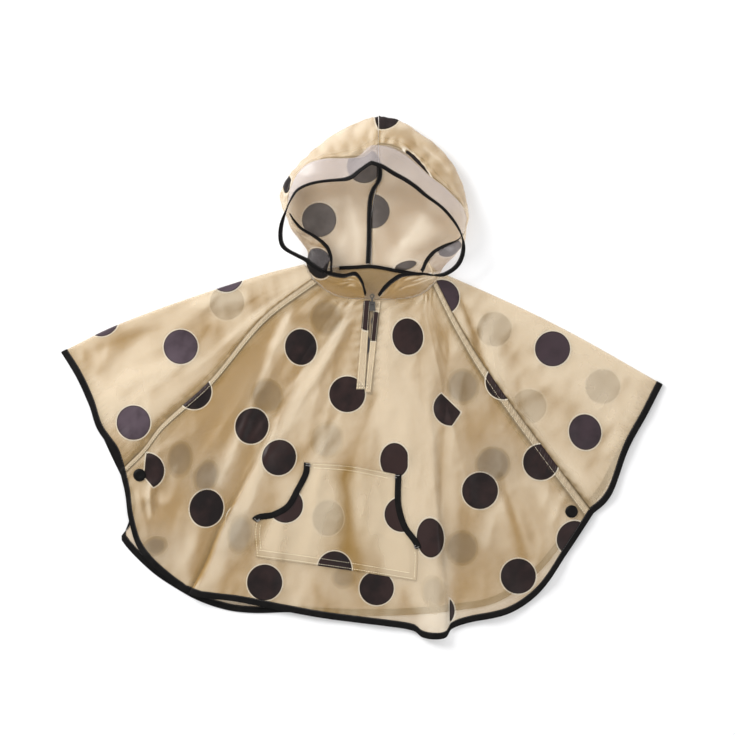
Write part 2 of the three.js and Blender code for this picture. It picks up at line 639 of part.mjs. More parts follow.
function slitTool() {
  const half = ZIP.slit / 2;
  const above = ZIP.top_y + SLIT_OVERRUN;
  const outline = new THREE.Shape([
    new THREE.Vector2(slitX(above) - half, above),
    new THREE.Vector2(slitX(ZIP.bottom_y) - half, ZIP.bottom_y),
    new THREE.Vector2(slitX(ZIP.bottom_y) + half, ZIP.bottom_y),
    new THREE.Vector2(slitX(above) + half, above),
  ]);
  return new THREE.ExtrudeGeometry(outline, { depth: CUT_HEIGHT, bevelEnabled: false });
}

function snapHole(snap) {
  const hole = new THREE.CylinderGeometry(SNAP.hole, SNAP.hole, CUT_HEIGHT, SNAP_SIDES);
  return hole.rotateX(Math.PI / 2).translate(snap.x, snap.y, 0);
}

const EDGE_GAPS = { first: SEAM_GAP / 2, last: SEAM_GAP / 2, top: SEAM_GAP, bottom: SEAM_GAP };
const frontEnd = frontGrid.length - 1;
const onSeamRidge = (i) => Math.min(i, frontEnd - i) <= 1;
const frontWall = wall(inset(frontGrid, EDGE_GAPS), { raised: (i) => (onSeamRidge(i) ? SEAM_RIDGE.height : 0) });
addPiece('front_panel', cut(frontWall, slitTool(), ...SNAPS.map(snapHole)), clothMaterial);

// Back panel

const raglanBackLeft = [
  { at: 0, x: NECK_BACK[0].x, y: NECK_BACK[0].y },
  { at: 1, x: HEM_BACK[0].x, y: HEM_BACK[0].y },
];
const raglanBackRight = [
  { at: 0, x: NECK_BACK.at(-1).x, y: NECK_BACK.at(-1).y },
  { at: 1, x: HEM_BACK.at(-1).x, y: HEM_BACK.at(-1).y },
];
const backPlan = panelPlan(NECK_BACK, HEM_BACK, raglanBackLeft, raglanBackRight);
const backGrid = steps(0, 1, BACK_COLUMNS).map((u) =>
  steps(0, 1, BACK_ROWS).map((v) => {
    const { x, y } = backPlan(u, v);
    return new THREE.Vector3(x, y, BACK_Z);
  }),
);
const backWall = wall(inset(backGrid, EDGE_GAPS));
addPiece('back_panel', cut(backWall, ...SNAPS.map(snapHole)), clothMaterial);

// Side panels, each one piece from the front raglan seam over the shoulder to the back one

function straight(from, to) {
  return [
    { at: 0, x: from.x, y: from.y },
    { at: 1, x: to.x, y: to.y },
  ];
}

function sideHeight(w, v) {
  let height = lerp(seamHeight(v), SHOULDER_Z, smooth(0, 1, w));
  for (const ridge of SIDE_RIDGES) {
    const room = smooth(0, 0.12, w) * smooth(0, 0.1, 1 - w);
    height += room * ridge.height * smooth(ridge.from, 1, v) * bell(w - ridge.place, ridge.half_width);
  }
  return height;
}

function sideGrid({ raglan, shoulder, hem, raglanBack, hemBack, hand }) {
  const frontHalf = panelPlan(straight(raglan[0], shoulder[0]), hem, raglan, shoulder);
  const backHalf = panelPlan(straight(raglanBack[0], shoulder[0]), hemBack, raglanBack, shoulder);
  const inward = (v) => {
    const a = planPoint(shoulder, Math.max(v - 0.02, 0));
    const b = planPoint(shoulder, Math.min(v + 0.02, 1));
    return new THREE.Vector2(b.y - a.y, a.x - b.x).normalize().multiplyScalar(hand);
  };
  const moved = (point, v, share, z) => {
    const step = inward(v).multiplyScalar(SHOULDER_RADIUS * share);
    return new THREE.Vector3(point.x + step.x, point.y + step.y, z);
  };
  const across = steps(0, 1, SIDE_FRONT_COLUMNS + 1);
  const front = across.map((w) => downRows.map((v) => moved(frontHalf(w, v), v, w, sideHeight(w, v))));
  const fold = steps(1, FOLD_STEPS - 1, FOLD_STEPS - 2).map((k) => {
    const angle = Math.PI / 2 - (Math.PI * k) / FOLD_STEPS;
    const share = 1 - Math.cos(angle);
    const z = BACK_Z + SHOULDER_RADIUS * (1 + Math.sin(angle));
    return downRows.map((v) => moved(planPoint(shoulder, v), v, share, z));
  });
  const back = steps(1, 0, SIDE_BACK_COLUMNS).map((w) => downRows.map((v) => moved(backHalf(w, v), v, w, BACK_Z)));
  return [...front, ...fold, ...back];
}

const SIDES = {
  left: {
    raglan: RAGLAN_LEFT,
    shoulder: SHOULDER_LEFT,
    hem: SIDE_HEM_LEFT,
    raglanBack: raglanBackLeft,
    hemBack: BACK_SIDE_HEM_LEFT,
    hand: -1,
  },
  right: {
    raglan: RAGLAN_RIGHT,
    shoulder: SHOULDER_RIGHT,
    hem: SIDE_HEM_RIGHT,
    raglanBack: raglanBackRight,
    hemBack: BACK_SIDE_HEM_RIGHT,
    hand: 1,
  },
};
const sideGrids = { left: sideGrid(SIDES.left), right: sideGrid(SIDES.right) };
for (const [name, { hand }] of Object.entries(SIDES)) {
  addPiece(`side_panel_${name}`, wall(inset(sideGrids[name], EDGE_GAPS), { facing: hand }), clothMaterial);
}

// Hem binding: one loop along the front hem, round the right tip, the back hem and the left tip

function outwardStep(column) {
  const end = column.length - 1;
  const step = column[end].clone().sub(column[end - 1]);
  step.z = 0;
  return step.normalize();
}

function hemBinding() {
  const backwards = (grid) => [...grid].reverse();
  const loop = [
    ...frontGrid.slice(0, -1),
    ...sideGrids.right.slice(0, -1),
    ...backwards(backGrid).slice(0, -1),
    ...backwards(sideGrids.left).slice(0, -1),
  ];
  const points = loop.map((column) => {
    const edge = column[column.length - 1];
    const step = outwardStep(column);
    return [0, 1].map((share) => edge.clone().addScaledVector(step, SEAM_GAP + share * BINDING_WIDTH));
  });
  return wall(points, { closed: true, out: BINDING_OUT, inside: BINDING_IN });
}

addPiece('hem_binding', hemBinding(), bindingMaterial);

// Hood

const HOODS = {
  left: { table: HOOD_LEFT, hand: -1, collar: [138, 147.5] },
  right: { table: HOOD_RIGHT, hand: 1, collar: [131, 138] },
};

function hoodPoint(name, at, kind) {
  const { table, hand } = HOODS[name];
  const angle = THREE.MathUtils.degToRad(at);
  const radius = read(table, at, kind);
  const x = HOOD_CENTRE.x + hand * radius * Math.sin(angle);
  const y = HOOD_CENTRE.y + radius * Math.cos(angle);
  return new THREE.Vector3(x, y, read(table, at, `${kind}_z`));
}

function hoodNeck(name, at) {
  const { table } = HOODS[name];
  return new THREE.Vector3(read(table, at, 'neck_x'), read(table, at, 'neck_y'), Math.max(read(table, at, 'neck_z'), BACK_Z));
}

function towards(from, to, distance) {
  return from.clone().add(to.clone().sub(from).setLength(distance));
}

function visorGap(at) {
  return lerp(VISOR_GAP.narrow, VISOR_GAP.wide, smooth(VISOR_GAP.from, VISOR_GAP.to, at));
}

// How much of the way the hood's own cloth reaches the bound edge
function collarShare(name, at) {
  return smooth(...HOODS[name].collar, at);
}

// Across the bound edge, from the cloth or film under it outwards
function rimAcross(name, at) {
  const rim = hoodPoint(name, at, 'rim');
  const under = hoodPoint(name, at, 'seam').lerp(hoodNeck(name, at), collarShare(name, at));
  return rim.sub(under).normalize();
}

// Where cloth or film ends, a gap inside the bound edge
function bindingInnerEdge(name, at) {
  const inside = HOOD_BINDING.width / 2 + HOOD_BINDING.gap;
  return hoodPoint(name, at, 'rim').addScaledVector(rimAcross(name, at), -inside);
}

// The strip of hood cloth in one direction, from the neck seam to the visor or the bound edge.
// At the back it lies flat and turns up at the outline, and at the front it stands as a collar.
function hoodStrip(name, at) {
  const neck = hoodNeck(name, at);
  const outline = hoodPoint(name, at, 'outline');
  const seam = hoodPoint(name, at, 'seam');
  const toVisor = towards(seam, outline, visorGap(at));
  const toBinding = bindingInnerEdge(name, at);
  const end = toVisor.lerp(toBinding, collarShare(name, at));
  const standing = smooth(HOOD_STRIP.stands_from, HOOD_STRIP.stands_at, neck.z);
  const swell = HOOD_STRIP.swell * neck.distanceTo(end);
  const away = new THREE.Vector3(neck.x - HOOD_CENTRE.x, neck.y - HOOD_CENTRE.y, 0).setLength(swell);
  const lying = [
    neck.clone().lerp(outline, HOOD_STRIP.lying[0]).setZ(BACK_Z),
    neck.clone().lerp(outline, HOOD_STRIP.lying[1]).setZ(BACK_Z + HOOD_STRIP.lift),
    outline,
    outline.clone().lerp(end, HOOD_STRIP.turn).setZ(lerp(outline.z, end.z, HOOD_STRIP.turn_height)),
  ];
  const upright = HOOD_STRIP.standing.map((t) => neck.clone().lerp(end, t).addScaledVector(away, 4 * t * (1 - t)));
  const middle = lying.map((point, k) => point.lerp(upright[k], standing));
  const curve = new THREE.CatmullRomCurve3([neck, ...middle, end], false, 'centripetal');
  return STRIP_PLACES.map((t) => {
    const point = curve.getPoint(t);
    point.z = Math.max(point.z, BACK_Z);
    return point;
  });
}

const HOOD_DIRECTIONS = {
  left: [0.3, 10, 20, 30, 43, 56, 65, 74, 82, 90, 97, 104, 112, 120, 126, 131, 136, 140, 148, 156.5, 165.4, 172.8, 176],
  right: [0.3, 10, 20, 30, 44.5, 60.6, 70, 76.6, 84, 92, 99.5, 107, 115, 122, 128, 133, 137, 141, 147, 154, 163, 170, 175],
};
for (const [name, { hand }] of Object.entries(HOODS)) {
  const points = HOOD_DIRECTIONS[name].map((at) => hoodStrip(name, at));
  addPiece(`hood_${name}`, wall(points, { facing: -hand }), clothMaterial);
}

// Visor band, from its lower left end over the crown to its lower right end

function directionsRound(leftEnd, rightEnd) {
  const inside = (name, end) => [0, ...HOOD_DIRECTIONS[name].slice(1).filter((at) => at < end - 1), end];
  const left = inside('left', leftEnd).reverse().map((at) => ({ name: 'left', at }));
  const right = inside('right', rightEnd).slice(1).map((at) => ({ name: 'right', at }));
  return [...left, ...right];
}

function visorGrid() {
  return directionsRound(VISOR_ENDS.left, VISOR_ENDS.right).map(({ name, at }) => {
    const seam = hoodPoint(name, at, 'seam');
    const start = towards(seam, hoodPoint(name, at, 'rim'), visorGap(at));
    const end = bindingInnerEdge(name, at);
    return steps(0, 1, 2).map((t) => start.clone().lerp(end, t));
  });
}

addPiece('visor', wall(visorGrid(), { facing: 1, out: VISOR_FILM / 2, inside: VISOR_FILM / 2 }), visorMaterial);

// Binding of the hood's edge, from the zip up round the opening and back to the zip

function rimBinding() {
  const points = directionsRound(HOOD_LEFT.at(-1).at, HOOD_RIGHT.at(-1).at).map(({ name, at }) => {
    const rim = hoodPoint(name, at, 'rim');
    const across = rimAcross(name, at);
    const half = HOOD_BINDING.width / 2;
    return [rim.clone().addScaledVector(across, -half), rim.clone().addScaledVector(across, half)];
  });
  return wall(points, { facing: 1, out: HOOD_BINDING.out, inside: HOOD_BINDING.out });
}

addPiece('hood_edge_binding', rimBinding(), bindingMaterial);

// Bound seam allowances that show inside

function boundSeam(centres, across, lift) {
  const half = SEAM_BINDING.width / 2;
  const points = centres.map((centre, k) => {
    const step = across(k);
    return [centre.clone().addScaledVector(step, -half), centre.clone().addScaledVector(step, half)];
  });
  const thick = SEAM_BINDING.thickness / 2;
  return wall(points, { facing: lift, out: thick, inside: thick });
}

const bindingLying = BACK_Z + HALF + LAYER_GAP + SEAM_BINDING.thickness / 2;

function centreSeamBinding() {
  const rows = steps(CENTRE_BINDING.bottom_y, CENTRE_BINDING.top_y, 8);
  const centres = rows.map((y) => new THREE.Vector3(HOOD_CENTRE.x, y, bindingLying));
  return boundSeam(centres, () => new THREE.Vector3(1, 0, 0), -1);
}

function neckSeamBinding() {
  const centres = steps(NECK_BINDING.from, NECK_BINDING.to, 10).map((u) => {
    const { x, y } = planPoint(NECK_BACK, u);
    return new THREE.Vector3(x, y - NECK_BINDING.drop, bindingLying);
  });
  return boundSeam(centres, () => new THREE.Vector3(0, 1, 0), 1);
}

function visorSeamBinding(name, from, to) {
  const directions = steps(from, to, 10);
  const frame = directions.map((at) => {
    const seam = hoodPoint(name, at, 'seam');
    const across = hoodPoint(name, at, 'rim').sub(seam).normalize();
    const ahead = hoodPoint(name, at + 1, 'seam').sub(hoodPoint(name, at - 1, 'seam'));
    const up = ahead.cross(across).normalize().multiplyScalar(HOODS[name].hand);
    const lift = VISOR_FILM / 2 + LAYER_GAP + CLOTH + SEAM_BINDING.thickness / 2;
    return { centre: seam.addScaledVector(up, lift), across };
  });
  return boundSeam(frame.map((f) => f.centre), (k) => frame[k].across, HOODS[name].hand);
}

addPiece('hood_center_seam_binding', centreSeamBinding(), bindingMaterial);
addPiece('back_neck_seam_binding', neckSeamBinding(), bindingMaterial);
for (const [name, [from, to]] of Object.entries(VISOR_BINDINGS)) {
  addPiece(`visor_seam_binding_${name}`, visorSeamBinding(name, from, to), bindingMaterial);
}

// Pocket with its two bound mouths

const pocketPlan = panelPlan(POCKET_TOP, POCKET_BOTTOM, POCKET_LEFT, POCKET_RIGHT);

function pocketPanel() {
  const rows = [...steps(0, POCKET_MOUTH_END, 8), 0.87, 1];
  const points = steps(0, 1, 10).map((u) =>
    rows.map((v) => {
      const { x, y } = pocketPlan(u, v);
      return onFront(x, y, POCKET_LIFT);
    }),
  );
  return wall(inset(points, { first: SEAM_GAP / 2, last: SEAM_GAP / 2 }));
}

function pocketBinding(edge, hand) {
  const rows = steps(0, POCKET_MOUTH_END, 8);
  const line = rows.map((v) => planPoint(edge, v));
  const side = rows.map((_, k) => {
    const a = line[Math.max(k - 1, 0)];
    const b = line[Math.min(k + 1, line.length - 1)];
    return new THREE.Vector2(a.y - b.y, b.x - a.x).normalize().multiplyScalar(hand);
  });
  const points = steps(SEAM_GAP, SEAM_GAP + POCKET_BINDING.width, 2).map((distance) =>
    line.map((point, k) => onFront(point.x + side[k].x * distance, point.y + side[k].y * distance, POCKET_LIFT)),
  );
  return wall(points, { facing: hand, out: POCKET_BINDING.half_thickness, inside: POCKET_BINDING.half_thickness });
}

addPiece('pocket_panel', pocketPanel(), clothMaterial);
addPiece('pocket_binding_left', pocketBinding(POCKET_LEFT, -1), bindingMaterial);
addPiece('pocket_binding_right', pocketBinding(POCKET_RIGHT, 1), bindingMaterial);

// Half zip

function weltLine(welt, side) {
  return (v) => ({ x: lerp(welt.top[side], welt.bottom[side], v), y: lerp(welt.top_y, welt.bottom_y, v) });
}

function zipLine(offset, top, bottom) {
  return (v) => {
    const y = lerp(top, bottom, v);
    return { x: slitX(y) + offset, y };
  };
}

const weltLift = HALF + LAYER_GAP + WELT_THICKNESS / 2;
for (const [name, welt] of [['left', WELT_LEFT], ['right', WELT_RIGHT]]) {
  const strip = stripOnFront(weltLine(welt, 0), weltLine(welt, 1), weltLift, 8, WELT_THICKNESS / 2);
  addPiece(`zip_welt_${name}`, strip, clothMaterial);
}

const tapeHalf = ZIP_TAPE.width / 2;
const tapeLift = -HALF - LAYER_GAP - ZIP_TAPE.thickness / 2;
const tapeTop = ZIP.top_y - ZIP_TAPE.below_neck;
const tapeBottom = ZIP.bottom_y - ZIP_TAPE.below_slit;
const tape = stripOnFront(
  zipLine(-tapeHalf, tapeTop, tapeBottom),
  zipLine(tapeHalf, tapeTop, tapeBottom),
  tapeLift,
  8,
  ZIP_TAPE.thickness / 2,
);
addPiece('zip_tape', tape, zipMaterial);

const chainHalf = ZIP_CHAIN.width / 2;
const chainLift = tapeLift + ZIP_TAPE.thickness / 2 + SEAM_GAP + ZIP_CHAIN.thickness / 2;
const chain = stripOnFront(
  zipLine(-chainHalf, ZIP_CHAIN.top_y, ZIP.bottom_y + 1),
  zipLine(chainHalf, ZIP_CHAIN.top_y, ZIP.bottom_y + 1),
  chainLift,
  8,
  ZIP_CHAIN.thickness / 2,
);
addPiece('zip_chain', chain, zipMaterial);

const sliderFloor = onFront(SLIDER.x, SLIDER.y, 0).z + HALF + LAYER_GAP + WELT_THICKNESS + LAYER_GAP;
const pinZ = sliderFloor + SLIDER.plate + SEAM_GAP + PULL.eye;
const pinY = SLIDER.y + SLIDER_LUG.ahead;

function box(x, y, z, width, length, height) {
  return new THREE.BoxGeometry(width, length, height).translate(x, y, z + height / 2);
}

function zipSlider() {
  const plate = box(SLIDER.x, SLIDER.y, sliderFloor, SLIDER.width, SLIDER.length, SLIDER.plate);
  const lugHeight = pinZ + SLIDER_PIN + SLIDER_LUG.above_pin - sliderFloor;
  const lugX = SLIDER.width / 2 - SLIDER_LUG.thickness / 2;
  const lugs = [-1, 1].map((side) =>
    box(SLIDER.x + side * lugX, pinY, sliderFloor, SLIDER_LUG.thickness, SLIDER_LUG.length, lugHeight),
  );
  const stemFoot = onFront(SLIDER.x, SLIDER.y, 0).z - SLIDER_STEM.into_slit;
  const stemHeight = sliderFloor - stemFoot + SLIDER_STEM.into_plate;
  const stemY = SLIDER.y + SLIDER_STEM.ahead;
  const stem = box(SLIDER.x, stemY, stemFoot, SLIDER_STEM.width, SLIDER_STEM.length, stemHeight);
  const pin = new THREE.CylinderGeometry(SLIDER_PIN, SLIDER_PIN, 2 * lugX, 12);
  pin.rotateZ(Math.PI / 2).translate(SLIDER.x, pinY, pinZ);
  return join(plate, ...lugs, stem, pin);
}

// The pull tab lies up the garment from its pin: an eye round the pin, a tab and an end ring
function zipPull() {
  const circle = (radius) => new THREE.Shape().absarc(0, 0, radius, 0, 2 * Math.PI);
  const ringOf = (outer, hole, depth) => {
    const shape = circle(outer);
    shape.holes.push(circle(hole));
    return new THREE.ExtrudeGeometry(shape, { depth, bevelEnabled: false, curveSegments: 10 });
  };
  const eye = ringOf(PULL.eye, PULL.hole, PULL.eye_width);
  eye.rotateY(Math.PI / 2).translate(SLIDER.x - PULL.eye_width / 2, pinY, pinZ);
  const ring = ringOf(PULL.ring, PULL.ring_hole, PULL.thickness);
  ring.translate(SLIDER.x, pinY + PULL.reach, pinZ - PULL.thickness / 2);
  const start = PULL.eye - PULL_TAB.into_eye;
  const length = PULL.reach - PULL.ring + PULL_TAB.into_ring - start;
  const tabY = pinY + start + length / 2;
  const tab = box(SLIDER.x, tabY, pinZ - PULL.thickness / 2, PULL_TAB.width, length, PULL.thickness);
  return join(eye, ring, tab);
}

addPiece('zip_slider', zipSlider(), zipMaterial);
addPiece('zip_pull', zipPull(), zipMaterial);

// Snap fasteners

function snapPieces({ name, x, y }) {
  const clothTop = SNAP.layer_z + HALF + LAYER_GAP;
  const clothBottom = SNAP.layer_z - HALF - LAYER_GAP;
  const capTop = clothTop + SNAP_CAP.height;
  const capFoot = clothBottom + SNAP_CAP.clench;
  const cap = turned(
    [
      [0, capTop],
      [SNAP.cap * SNAP_CAP.dome, capTop - SNAP_CAP.dome_drop],
      [SNAP.cap, clothTop + SNAP_CAP.edge],
      [SNAP.cap, clothTop],
      [SNAP.post, clothTop],
      [SNAP.post, capFoot],
      [0, capFoot],
    ],
    x,
    y,
  );
  const socketTop = clothBottom - SEAM_GAP;
  const socketFoot = clothBottom - SNAP_SOCKET.depth;
  const wellTop = clothBottom - SNAP_SOCKET.well_depth;
  const socket = turned(
    [
      [0, socketTop],
      [SNAP.flange, socketTop],
      [SNAP.flange, socketFoot],
      [SNAP_SOCKET.well, socketFoot],
      [SNAP_SOCKET.well, wellTop],
      [0, wellTop],
    ],
    x,
    y,
  );
  const flangeFoot = BACK_Z + HALF + LAYER_GAP;
  const flangeTop = flangeFoot + SNAP_STUD.flange_height;
  const ballTop = clothBottom - SNAP_STUD.below_cloth;
  const stud = turned(
    [
      [0, ballTop],
      [SNAP_STUD.ball, ballTop - SNAP_STUD.ball_edge],
      [SNAP_STUD.ball, flangeTop],
      [SNAP.flange, flangeTop],
      [SNAP.flange, flangeFoot],
      [SNAP.post, flangeFoot],
      [SNAP.post, 0],
      [0, 0],
    ],
    x,
    y,
  );
  addPiece(`snap_cap_${name}`, cap, snapMaterial);
  addPiece(`snap_socket_${name}`, socket, snapMaterial);
  addPiece(`snap_stud_${name}`, stud, snapMaterial);
}

SNAPS.forEach(snapPieces);

export default poncho;
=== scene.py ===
"""Toddler's hooded rain poncho, laid flat: thin dotted cloth, bindings, visor, zip and snaps."""

import math

import bpy
import numpy as np
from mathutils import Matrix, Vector


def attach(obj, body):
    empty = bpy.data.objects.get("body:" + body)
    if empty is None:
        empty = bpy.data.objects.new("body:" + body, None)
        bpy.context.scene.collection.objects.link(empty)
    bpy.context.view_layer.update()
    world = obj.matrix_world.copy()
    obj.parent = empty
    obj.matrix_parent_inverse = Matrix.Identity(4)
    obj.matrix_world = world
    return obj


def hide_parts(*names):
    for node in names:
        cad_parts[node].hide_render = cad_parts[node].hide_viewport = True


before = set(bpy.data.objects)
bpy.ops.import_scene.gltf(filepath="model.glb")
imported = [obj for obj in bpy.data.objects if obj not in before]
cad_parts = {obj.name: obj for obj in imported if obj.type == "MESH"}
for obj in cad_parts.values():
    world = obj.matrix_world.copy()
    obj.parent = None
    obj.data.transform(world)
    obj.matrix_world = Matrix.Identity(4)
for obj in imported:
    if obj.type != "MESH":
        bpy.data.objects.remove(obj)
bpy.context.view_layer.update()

MM = 0.001

# The photograph's frame: millimetres of the part to a pixel, and the pixel above the part's origin
PHOTO_MM = 1.4
PHOTO_CENTRE = (362.0, 377.75)
PHOTO_SIZE = 735

# Cloth as it is drawn here: thicknesses, heights above the floor and widths, in millimetres
CLOTH = 0.4
FILM = 0.35
WELT_CLOTH = 0.8
BACK_Z = 0.6
FRONT_LOWEST = 2.7
FRONT_HEM_Z = 4.0
FRONT_NECK_RISE = 1.6
FRONT_SPAN = 620
SHOULDER_RADIUS = 1.9
SHOULDER_Z = BACK_Z + 2 * SHOULDER_RADIUS
SEAM_COLUMNS = (0, 1.2, 2.5, 4.0, 5.6, 7.2, 8.6, 10.5)
FELL_WIDTH = 7.6
FELL_STITCH = 6.0
HEM_BINDING_WIDTH = 8
HOOD_BINDING_WIDTH = 6.6
POCKET_BINDING_WIDTH = 8.6
POCKET_LIFT = 2.0
POCKET_STITCH_LIFT = 1.35
WELT_LIFT = 1.9
WELT_STITCH_LIFT = 2.35
STITCH_LIFT = 0.32
TAPE_Z = BACK_Z + 1.9

# Heights of the small puckers and gathers that sewing leaves, in millimetres
ZIP_PUCKER = 0.55
NECK_GATHER = 0.6
HEM_PUCKER = 0.35
SEAM_PUCKER = 0.35
SIDE_HEM_FOLD = 0.6
SIDE_PUCKER = 0.3
COLLAR_GATHER = 0.5

# How many points the pieces have
FRONT_ROWS = 150
FELL_COLUMNS = 12
SIDE_ROWS = 110
VISOR_COLUMNS = 90
VISOR_ROWS = 16
RIM_POINTS = 150
RUN_POINTS = 60

# How see-through the cloth is, and where it lies on the back
CLOTH_ALPHA = 0.33
CONTACT_ALPHA = 0.14
PRINT_ALPHA = 0.95

# The way to the main light, and how much the fine relief turned to it pales the cloth
LIGHT_WAY = np.array([-0.62, 0.50, 0.45])
LIT_GAIN = 1.3


def table(columns, rows):
    """A table with named columns, each column an array."""
    values = np.array(rows, float)
    return {name: values[:, k] for k, name in enumerate(columns.split())}


# Outlines of the panels, left to right as seen from above
NECK_FRONT = table("at x y", [
    (0, -70, 138), (0.11, -52, 123), (0.22, -34, 114), (0.35, -10, 110), (0.5, 13, 110), (0.62, 36, 109),
    (0.74, 70, 112), (0.88, 90, 121), (1, 104, 135),
])
HEM_FRONT = table("at x y", [
    (0, -333, -126), (0.05, -326, -157), (0.09, -321, -194), (0.14, -308, -234), (0.2, -274, -271),
    (0.26, -235, -296), (0.35, -167, -307), (0.43, -102, -320), (0.51, -45, -330), (0.63, 50, -342),
    (0.655, 74, -347), (0.668, 84, -355), (0.69, 102, -358), (0.708, 118, -355), (0.716, 124, -345),
    (0.75, 146, -336), (0.82, 205, -322), (0.87, 245, -294), (0.94, 284, -238), (1, 319, -184),
])
NECK_BACK = table("at x y", [(0, -52, 154), (0.25, -11, 156), (0.45, 15, 157), (0.7, 50, 151), (1, 88, 145)])
HEM_BACK = table("at x y", [
    (0, -328, -140), (0.03, -318, -180), (0.045, -326, -207), (0.06, -332, -221), (0.09, -294, -262),
    (0.12, -260, -286), (0.15, -226, -305), (0.19, -186, -318), (0.23, -150, -322), (0.3, -101, -321),
    (0.42, -31, -325), (0.55, 53, -325), (0.68, 133, -318), (0.8, 193, -304), (0.88, 245, -265),
    (0.94, 284, -217), (1, 319, -171),
])

# Seams and folds from the neck to the hem, and the side hems from the raglan seam to the tip
RAGLAN = {
    "left": table("at x y", [
        (0, -70, 138), (0.25, -140, 84), (0.55, -214, -5), (0.8, -280, -65), (0.92, -307, -100),
        (1, -333, -126),
    ]),
    "right": table("at x y", [
        (0, 104, 135), (0.17, 134, 77), (0.38, 174, 12), (0.72, 248, -90), (1, 319, -184),
    ]),
}
SHOULDER = {
    "left": table("at x y", [
        (0, -80, 159), (0.2, -137, 145), (0.4, -204, 124), (0.62, -288, 95), (0.82, -356, 68), (1, -414, 39),
    ]),
    "right": table("at x y", [
        (0, 111, 147), (0.25, 182, 116), (0.5, 249, 85), (0.75, 316, 50), (1, 414, -6),
    ]),
}
SIDE_HEM = {
    "left": table("at x y", [
        (0, -333, -126), (0.2, -343, -98), (0.45, -365, -66), (0.65, -377, -30), (0.85, -395, 9),
        (1, -414, 39),
    ]),
    "right": table("at x y", [
        (0, 319, -184), (0.15, 337, -168), (0.3, 349, -147), (0.55, 368, -93), (0.8, 393, -47), (1, 414, -6),
    ]),
}
BACK_SIDE_HEM = {
    "left": table("at x y", [
        (0, -330, -140), (0.3, -350, -97), (0.6, -371, -48), (0.8, -392, 1), (1, -414, 39),
    ]),
    "right": table("at x y", [
        (0, 319, -171), (0.2, 335, -150), (0.5, 357, -108), (0.75, 384, -60), (1, 414, -6),
    ]),
}
HAND = {"left": -1, "right": 1}

# Soft ridges of the front panel: place across the hem, half width and height at the hem, start
FRONT_RIDGES = table("place half_width height start", [
    (0.07, 16, 3.5, 0.45), (0.17, 20, 4.5, 0.3), (0.37, 22, 2.5, 0.5), (0.48, 26, 2.0, 0.6),
    (0.6, 24, 2.5, 0.55), (0.8, 22, 4.0, 0.25), (0.9, 18, 5.0, 0.35),
])
PLEAT = {"place": 0.702, "left_width": 22, "right_width": 6, "height": 9, "start": 0.2}
LEAN = {"place": 0.7, "reach": 0.12, "shift": 0.09}
OVERLAP = {"place": 0.26, "start": 0.3, "settle": 70}
OVERLAP_SECTION = table("at flat across up", [
    (0, -10, -13, 0), (1, -7.5, -7, 0.1), (2, -5, -1, 0.3), (3, -2.5, 3.2, 1.5), (4, 0, 3.4, 3.4),
    (5, 2.5, 0.8, 4.6), (6, 4.5, -2.4, 6.2), (7, 6.5, -2.6, 8.0), (8, 8, 2, 9.2), (9, 10, 11, 9.6),
])
OVERLAP_RISE = 9.6

# Columns of the front's grid, as places across: up to the overlap, past it through the pleat, and on.
# First and last are shares of the way from the left seam's own columns and to the right seam's.
LEFT_COLUMNS = {"first": 0.03, "to": 0.235, "count": 46}
MIDDLE_COLUMNS = ((0.285, 0.655, 76), (0.66, 0.725, 24), (0.73, 0.76, 6))
RIGHT_COLUMNS = {"from": 0.765, "last": 0.97, "count": 50}
SIDE_RIDGES = table("place half_width height start", [
    (0.25, 0.12, 2.5, 0.3), (0.55, 0.13, 3.0, 0.2), (0.82, 0.1, 1.8, 0.4),
])
SNAPS = {"left": (-311, -136), "right": (293, -187)}
SNAP_Z = 5.8
SNAP_LEVEL = 16
SNAP_SPREAD = 70
SNAP_CLEAR = (7, 26)

# The parts of a snap: the solid that each stands for, its base's height, and the radius and height of
# each step of its turned profile
SNAP_PARTS = {
    "button": {"node": "snap_cap", "base": SNAP_Z + 0.6, "profile": table("radius height", [
        (0.01, 1.9), (2.2, 1.95), (3.4, 2.15), (4.4, 2.35), (5.6, 2.35), (6.9, 2.0), (8.2, 1.4), (8.8, 0.8),
        (8.7, 0.25), (7.6, 0.05), (1.7, 0), (1.7, -1.4), (0.01, -1.4),
    ])},
    "ring": {"node": "snap_socket", "base": 0, "profile": table("radius height", [
        (0.01, 4.4), (4.2, 4.4), (5.6, 4.3), (6.0, 3.8), (5.7, 3.2), (4.6, 3.0), (3.0, 3.0), (2.7, 3.2),
        (2.6, 3.8), (0.01, 3.8),
    ])},
    "post": {"node": "snap_stud", "base": 0, "profile": table("radius height", [
        (0.01, 3.2), (1.6, 3.15), (2.0, 2.9), (1.8, 2.6), (2.2, 2.4), (5.2, 2.3), (6.0, 2.0), (5.9, 1.7),
        (1.8, 1.6), (1.8, 0.3), (4.6, 0.25), (5.0, 0.05), (0.01, 0.0),
    ])},
}

